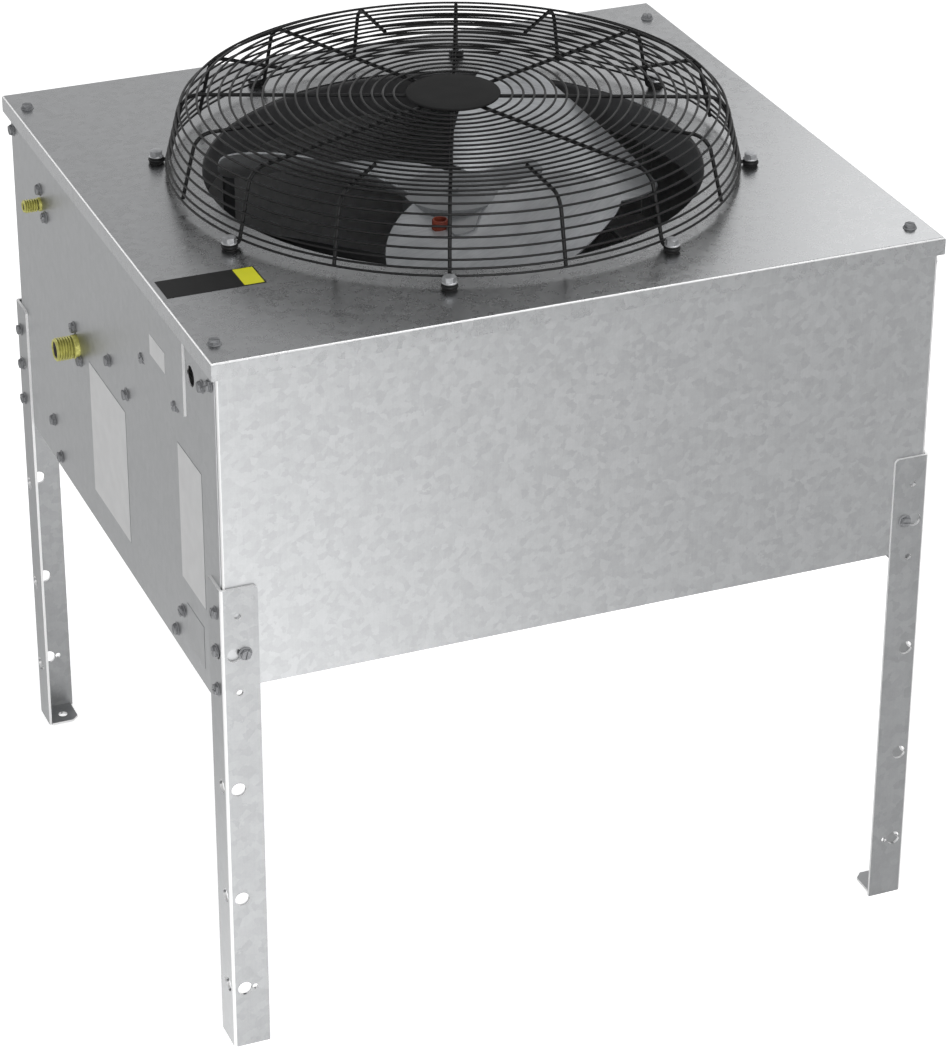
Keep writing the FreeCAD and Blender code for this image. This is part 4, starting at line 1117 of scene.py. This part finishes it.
@dataclass
class Coil:
    """The heat exchanger: a pack of thin fins on rows of copper tube joined by return bends."""

    half_x: float = 340.3
    front: float = -341.8
    back: float = 332.7
    low: float = 450.0
    high: float = 535.0
    fin: float = 0.35
    pitch: float = 2.6
    wave: float = 1.2
    folds: int = 7
    tube_radius: float = 4.8
    tube_pitch: float = 25.4
    rows: int = 3
    stub: float = 3.0
    tube_sides: int = 12
    bend_steps: int = 13
    bend_sides: int = 10

    def fins(self) -> Shell:
        """Plates square to X, evenly spaced, folded so that the fold k of n has x = (-1)^k wave."""
        count = int(2 * self.half_x / self.pitch)
        plate = block((-self.fin / 2, self.front, self.low), (self.fin / 2, self.back, self.high))
        share = np.linspace(0.0, 1.0, self.folds)[:, None, None]
        rows = plate.points.reshape(2, 4, 3)
        folded = rows[0] + (rows[1] - rows[0]) * share
        folded[1:-1, :, 0] += self.wave * (-1.0) ** np.arange(1, self.folds - 1)[:, None]
        plate = grid(folded, caps=True)
        reach = self.half_x - self.fin - self.wave
        x = np.linspace(-reach, reach, count)
        return plate.at(moved(np.stack([x, 0 * x, 0 * x], axis=1)))

    def core(self) -> Shell:
        """The tubes through the fins, as straight runs along X."""
        end = self.half_x + self.stub
        path = np.array([(-end, 0.0, 0.0), (end, 0.0, 0.0)])
        return wire(path, self.tube_radius, self.tube_sides, ALONG_Y).at(self.places())

    def places(self) -> Array:
        """Matrices to each tube: rows stepped half a pitch from one another."""
        count = int((self.back - self.front) / self.tube_pitch)
        row, column = np.meshgrid(np.arange(self.rows), np.arange(count), indexing="ij")
        y = self.front + self.tube_pitch * (column + 0.5 + 0.5 * (row % 2))
        z = self.low + (self.high - self.low) * (row + 0.5) / self.rows
        return moved(np.stack([np.zeros(row.size), y.ravel(), z.ravel()], axis=1))

    def bends(self, side: int) -> Shell:
        """Half-circle bends that join tubes in pairs: path (x + r sin a, y + r (1 - cos a))."""
        reach = self.tube_pitch / 2
        turn = np.linspace(0.0, math.pi, self.bend_steps)
        out = side * (self.half_x + self.stub + reach * np.sin(turn))
        path = np.stack([out, reach * (1 - np.cos(turn)), 0 * turn], axis=1)
        places = self.places()
        per_row = len(places) // self.rows
        start = 0 if side > 0 else 1
        chosen = places.reshape(self.rows, per_row, 4, 4)[:, start:per_row - 1:2]
        bend = wire(path, self.tube_radius, self.bend_sides, ALONG_Z)
        return bend.at(chosen.reshape(-1, 4, 4))

    def build(self) -> None:
        """Makes the fins, the tubes and the return bends."""
        Piece("coil_fin_pack", [self.fins()], FINS, "aluminium_fins", ("coil_fins",)).build()
        for name, shell in (("coil_tubes", self.core()), ("coil_bends_left", self.bends(-1)),
                            ("coil_bends_right", self.bends(1))):
            Piece(name, [shell], COPPER, "copper_pipe").build()


@dataclass
class Labels:
    """Plain films stuck on the housing, with nothing printed on them."""

    film: float = 0.25
    top_film: float = 1.4  # height of the yellow film's face, in films
    # width of the painted shadow line past the films' top and front edges
    edge: float = 0.9
    pale: tuple[Box, ...] = (
        (-53.0, 78.5, 450.5, 607.5), (-314.0, -238.0, 506.5, 661.0))
    clear: Box = (-304.5, -251.0, 432.0, 480.5)
    cover_film: Box = (-214.0, -164.0, 727.5, 750.5)
    cover_proud: float = 3.0
    strip: Box = (-393.0, -288.0, -214.0, -171.5)
    yellow_length: float = 23.0
    border: float = 1.6

    def side_film(self, box: Box, proud: float) -> Shell:
        """A film on the left side between two y and two z."""
        y_low, y_high, z_low, z_high = box
        return block((-SIDE_X - proud - self.film, y_low, z_low), (-SIDE_X - proud, y_high, z_high))

    def side_shadow_line(self, box: Box) -> Shell:
        """A darker grey strip under a film that shows past its top and its front edge: a painted
        shadow line.
        """
        y_low, y_high, z_low, z_high = box
        return block((-SIDE_X - self.film / 2, y_low - self.edge, z_low),
                     (-SIDE_X, y_high, z_high + self.edge))

    def build(self) -> None:
        """Makes the pale films, and the black and yellow strip on the lid."""
        pale = [self.side_film(box, 0.0) for box in self.pale]
        pale.append(self.side_film(self.cover_film, self.cover_proud))
        shadow_lines = [self.side_shadow_line(box) for box in self.pale + (self.clear,)]
        x_low, x_high, y_low, y_high = self.strip
        edge = self.border
        black = block((x_low, y_low, LID), (x_high, y_high, LID + self.film))
        yellow = block((x_high - self.yellow_length, y_low + edge, LID + self.film / 2),
                       (x_high - edge, y_high - edge, LID + self.film * self.top_film))
        for name, shells, finish in (
                ("side_films", pale, PALE_FILM),
                ("side_film_clear", [self.side_film(self.clear, 0.0)], CLEAR_FILM),
                ("side_film_shadow_lines", shadow_lines, PAINTED_SHADOW_FILM),
                ("lid_film_black", [black], DARK_FILM),
                ("lid_film_yellow", [yellow], YELLOW_FILM)):
            Piece(name, shells, finish, "galvanised_sheet").build()


@dataclass
class FanDress:
    """What a blade carries: a small red-brown plug that stands on it near the hub."""

    radius: float = 8.9
    place: Point = (-44.1, -72.6, 769.4)
    height: float = 11.8
    wall: float = 2.2
    hollow: float = 5.0
    foot_round: float = 1.5
    sides: int = 32

    def plug(self) -> Shell:
        """A turned plug: a rounded foot, a slight taper and a hollow in its top."""
        r, high, wall = self.radius, self.height, self.wall
        turn = np.linspace(-math.pi / 2, 0.0, 5)
        bend = self.foot_round
        foot = np.stack([r - bend + bend * np.cos(turn), bend + bend * np.sin(turn)], axis=1)
        top = [(r - 0.4, high - 0.8), (r - 0.9, high), (r - wall, high),
               (r - wall - 0.3, high - self.hollow), (0.5, high - self.hollow)]
        return lathe(np.vstack([[(0.5, 0.0)], foot, top]), self.sides)

    def build(self) -> None:
        """Makes the plug."""
        shell = self.plug()
        Piece("blade_plug", [Shell(shell.points + np.array(self.place), shell.faces)],
              PLUG_RUBBER, "rubber", body=Body.ROTOR).build()


@dataclass
class Cabinet:
    """The sheet-metal housing, legs and motor: CAD nodes that keep their shape and get finishes."""

    finishes: tuple[tuple[Finish, tuple[str, ...]], ...] = (
        (LID_METAL, ("top_panel",)),
        (FACE_METAL, ("front_panel", "back_panel")),
        (SHEET_METAL, ("left_panel", "right_panel", "coil_end_left", "coil_end_right",
                       "coil_rail_front", "coil_rail_back")),
        (COVER_METAL, ("junction_cover",)),
        (LEG_METAL, ("leg_front_left", "leg_front_right", "leg_back_left", "leg_back_right")),
        (RING_PAINT, ("fan_ring",)),
        (MOTOR_PAINT, ("fan_motor", "motor_band", "motor_arm_1", "motor_arm_2", "motor_arm_3",
                       "motor_arm_4")),
        (BLADE_METAL, ("fan_blades",)),
        (HUB_METAL, ("fan_hub",)))

    def build(self) -> None:
        """Gives each node its finish."""
        for finish, names in self.finishes:
            for name in names:
                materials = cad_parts[name].data.materials
                materials.clear()
                materials.append(finish.material())
                log.info("%s: %s", name, finish.name)


@dataclass
class Studio:
    """A white floor and surroundings, soft lamps, and the camera of the photograph."""

    camera_at: Point = (-1.35898, -3.38846, 2.35917)
    camera_ahead: Point = (0.330459, 0.823745, -0.460696)
    focal_px: float = 3657.05
    sensor_mm: float = 36.0
    centre_px: Pair = (453.42, 447.22)
    floor_size: float = 30.0
    floor_camera: float = 0.7
    # middle, reach and strength of the pool of light painted into the floor as glow for glossy rays
    pool_at: Pair = (-0.45, -1.3)
    pool_reach: Pair = (1.05, 2.2)
    pool_glow: Pair = (2.1, 0.24)
    sky: Stops = (
        (0.0, "#ffffff"), (0.25, "#ffffff"), (0.45, "#cacacb"), (0.8, "#a0a1a2"))
    room_light: float = 0.95
    floor_tone: str = "#e4e4e4"
    lamps: tuple[tuple[str, Point, float, float], ...] = (
        ("soft_box_front", (-0.6, -4.0, 1.5), 2.2, 60.0),
        ("soft_box_back", (3.1, 3.7, 3.3), 1.5, 12.0),
        ("soft_box_left", (-2.8, 3.2, 2.0), 2.0, 20.0),
        ("soft_box_over", (0.8, -0.5, 3.3), 1.6, 25.0))
    lamps_look_at: Point = (0.0, 0.0, 0.5)

    def camera(self) -> None:
        """A camera whose focal length and shift come from the picture's own pixels."""
        longest = max(PHOTO_WIDTH, PHOTO_HEIGHT)
        data = bpy.data.cameras.new("camera")
        data.sensor_width = self.sensor_mm
        data.sensor_fit = "AUTO"
        data.lens = self.focal_px / longest * data.sensor_width
        data.shift_x = (PHOTO_WIDTH / 2 - self.centre_px[0]) / longest
        data.shift_y = (self.centre_px[1] - PHOTO_HEIGHT / 2) / longest
        camera = placed("camera", data)
        camera.location = self.camera_at
        camera.rotation_euler = Vector(self.camera_ahead).to_track_quat("-Z", "Y").to_euler()
        bpy.context.scene.camera = camera

    def seen_background(self, tree: Tree) -> Socket:
        """1 for rays from the camera, off gloss and through glass, else 0."""
        path = add(tree, "ShaderNodeLightPath")
        return combined(tree, "MAXIMUM", path.outputs["Is Camera Ray"],
                        path.outputs["Is Transmission Ray"], path.outputs["Is Glossy Ray"])

    def world(self) -> None:
        """A room that is white up to well above the horizon and greyer overhead."""
        world = bpy.data.worlds.new("studio")
        bpy.context.scene.world = world
        tree = emptied(world)
        way = add(tree, "ShaderNodeSeparateXYZ",
                  links={"Vector": add(tree, "ShaderNodeTexCoord").outputs["Generated"]})
        colour = ramp(tree, way.outputs["Z"], self.sky)
        around = add(tree, "ShaderNodeBackground", {"Strength": self.room_light},
                     {"Color": colour})
        seen = add(tree, "ShaderNodeBackground", {"Strength": 1.0}, {"Color": colour})
        mixed = add(tree, "ShaderNodeMixShader", links={
            "Fac": self.seen_background(tree), 1: around.outputs["Background"],
            2: seen.outputs["Background"]})
        add(tree, "ShaderNodeOutputWorld", links={"Surface": mixed.outputs["Shader"]})

    def floor(self) -> None:
        """A pale floor, white to the camera, with a pool of light in front painted into it as glow
        that only reflections in metal see.
        """
        half = self.floor_size / 2
        mesh = bpy.data.meshes.new("floor")
        mesh.from_pydata([(-half, -half, 0), (half, -half, 0), (half, half, 0), (-half, half, 0)],
                         [], [(0, 1, 2, 3)])
        material = bpy.data.materials.new("studio_floor")
        tree = emptied(material)
        matt = add(tree, "ShaderNodeBsdfDiffuse", {"Color": linear(self.floor_tone)})
        path = add(tree, "ShaderNodeLightPath")
        camera = ranged(tree, path.outputs["Is Camera Ray"], 0.0, self.floor_camera, 0.0, 1.0)
        scale = tuple(1 / reach for reach in self.pool_reach) + (0.0,)
        centre = tuple(-at * size for at, size in zip(self.pool_at, scale)) + (0.0,)
        place = add(tree, "ShaderNodeMapping", {"Location": centre, "Scale": scale},
                    {"Vector": add(tree, "ShaderNodeTexCoord").outputs["Object"]})
        away = add(tree, "ShaderNodeVectorMath", links={0: place.outputs["Vector"]},
                   operation="LENGTH")
        pool = ranged(tree, away.outputs["Value"], *self.pool_glow, 0.0, 1.0)
        pool.node.interpolation_type = "SMOOTHSTEP"
        gloss = combined(tree, "MULTIPLY", path.outputs["Is Glossy Ray"], pool)
        level = combined(tree, "MAXIMUM", camera, gloss)
        glow = add(tree, "ShaderNodeEmission", {"Color": (1, 1, 1, 1)},
                   {"Strength": level})
        both = add(tree, "ShaderNodeAddShader", links={0: matt.outputs["BSDF"],
                                                       1: glow.outputs["Emission"]})
        add(tree, "ShaderNodeOutputMaterial", links={"Surface": both.outputs["Shader"]})
        mesh.materials.append(material)
        placed("floor", mesh)

    def lamp(self, name: str, at: Point, size: float, power: float) -> None:
        """A square soft box that looks at the object's middle, its size in metres and watts."""
        data = bpy.data.lights.new(name, "AREA")
        data.size = size
        data.energy = power
        lamp = placed(name, data)
        lamp.location = at
        way = Vector(self.lamps_look_at) - Vector(at)
        lamp.rotation_euler = way.to_track_quat("-Z", "Y").to_euler()

    def build(self) -> None:
        """Makes the studio."""
        self.camera()
        self.world()
        self.floor()
        for lamp in self.lamps:
            self.lamp(*lamp)


def main() -> None:
    """Builds the scene in order."""
    logging.basicConfig(level=logging.INFO, format="%(name)s %(message)s")
    bpy.context.scene.view_settings.view_transform = "Standard"
    studio = Studio()
    gas = {"y": 124.0, "drop": 204.0, "bore_radius": 9.5}
    liquid = {"y": 247.0, "drop": 84.0, "bore_radius": 4.6}
    parts = [
        studio, Cabinet(), WireGuard(), GuardFixings(), SheetScrews(),
        PipeFitting("gas_connector", "discharge_fitting", thread_radius=13.5, length=26.0,
                    collar=6.0, pitch=3.0, **gas),
        PipeFitting("liquid_connector", "liquid_fitting", thread_radius=7.9, length=20.0,
                    collar=3.0, pitch=2.7, **liquid),
        InnerPipe("gas_tube", "gas_pipe", **gas),
        InnerPipe("liquid_tube", "liquid_pipe", **liquid),
        Coil(), Labels(), FanDress()]
    for part in parts:
        part.build()


if __name__ == "__main__":
    main()
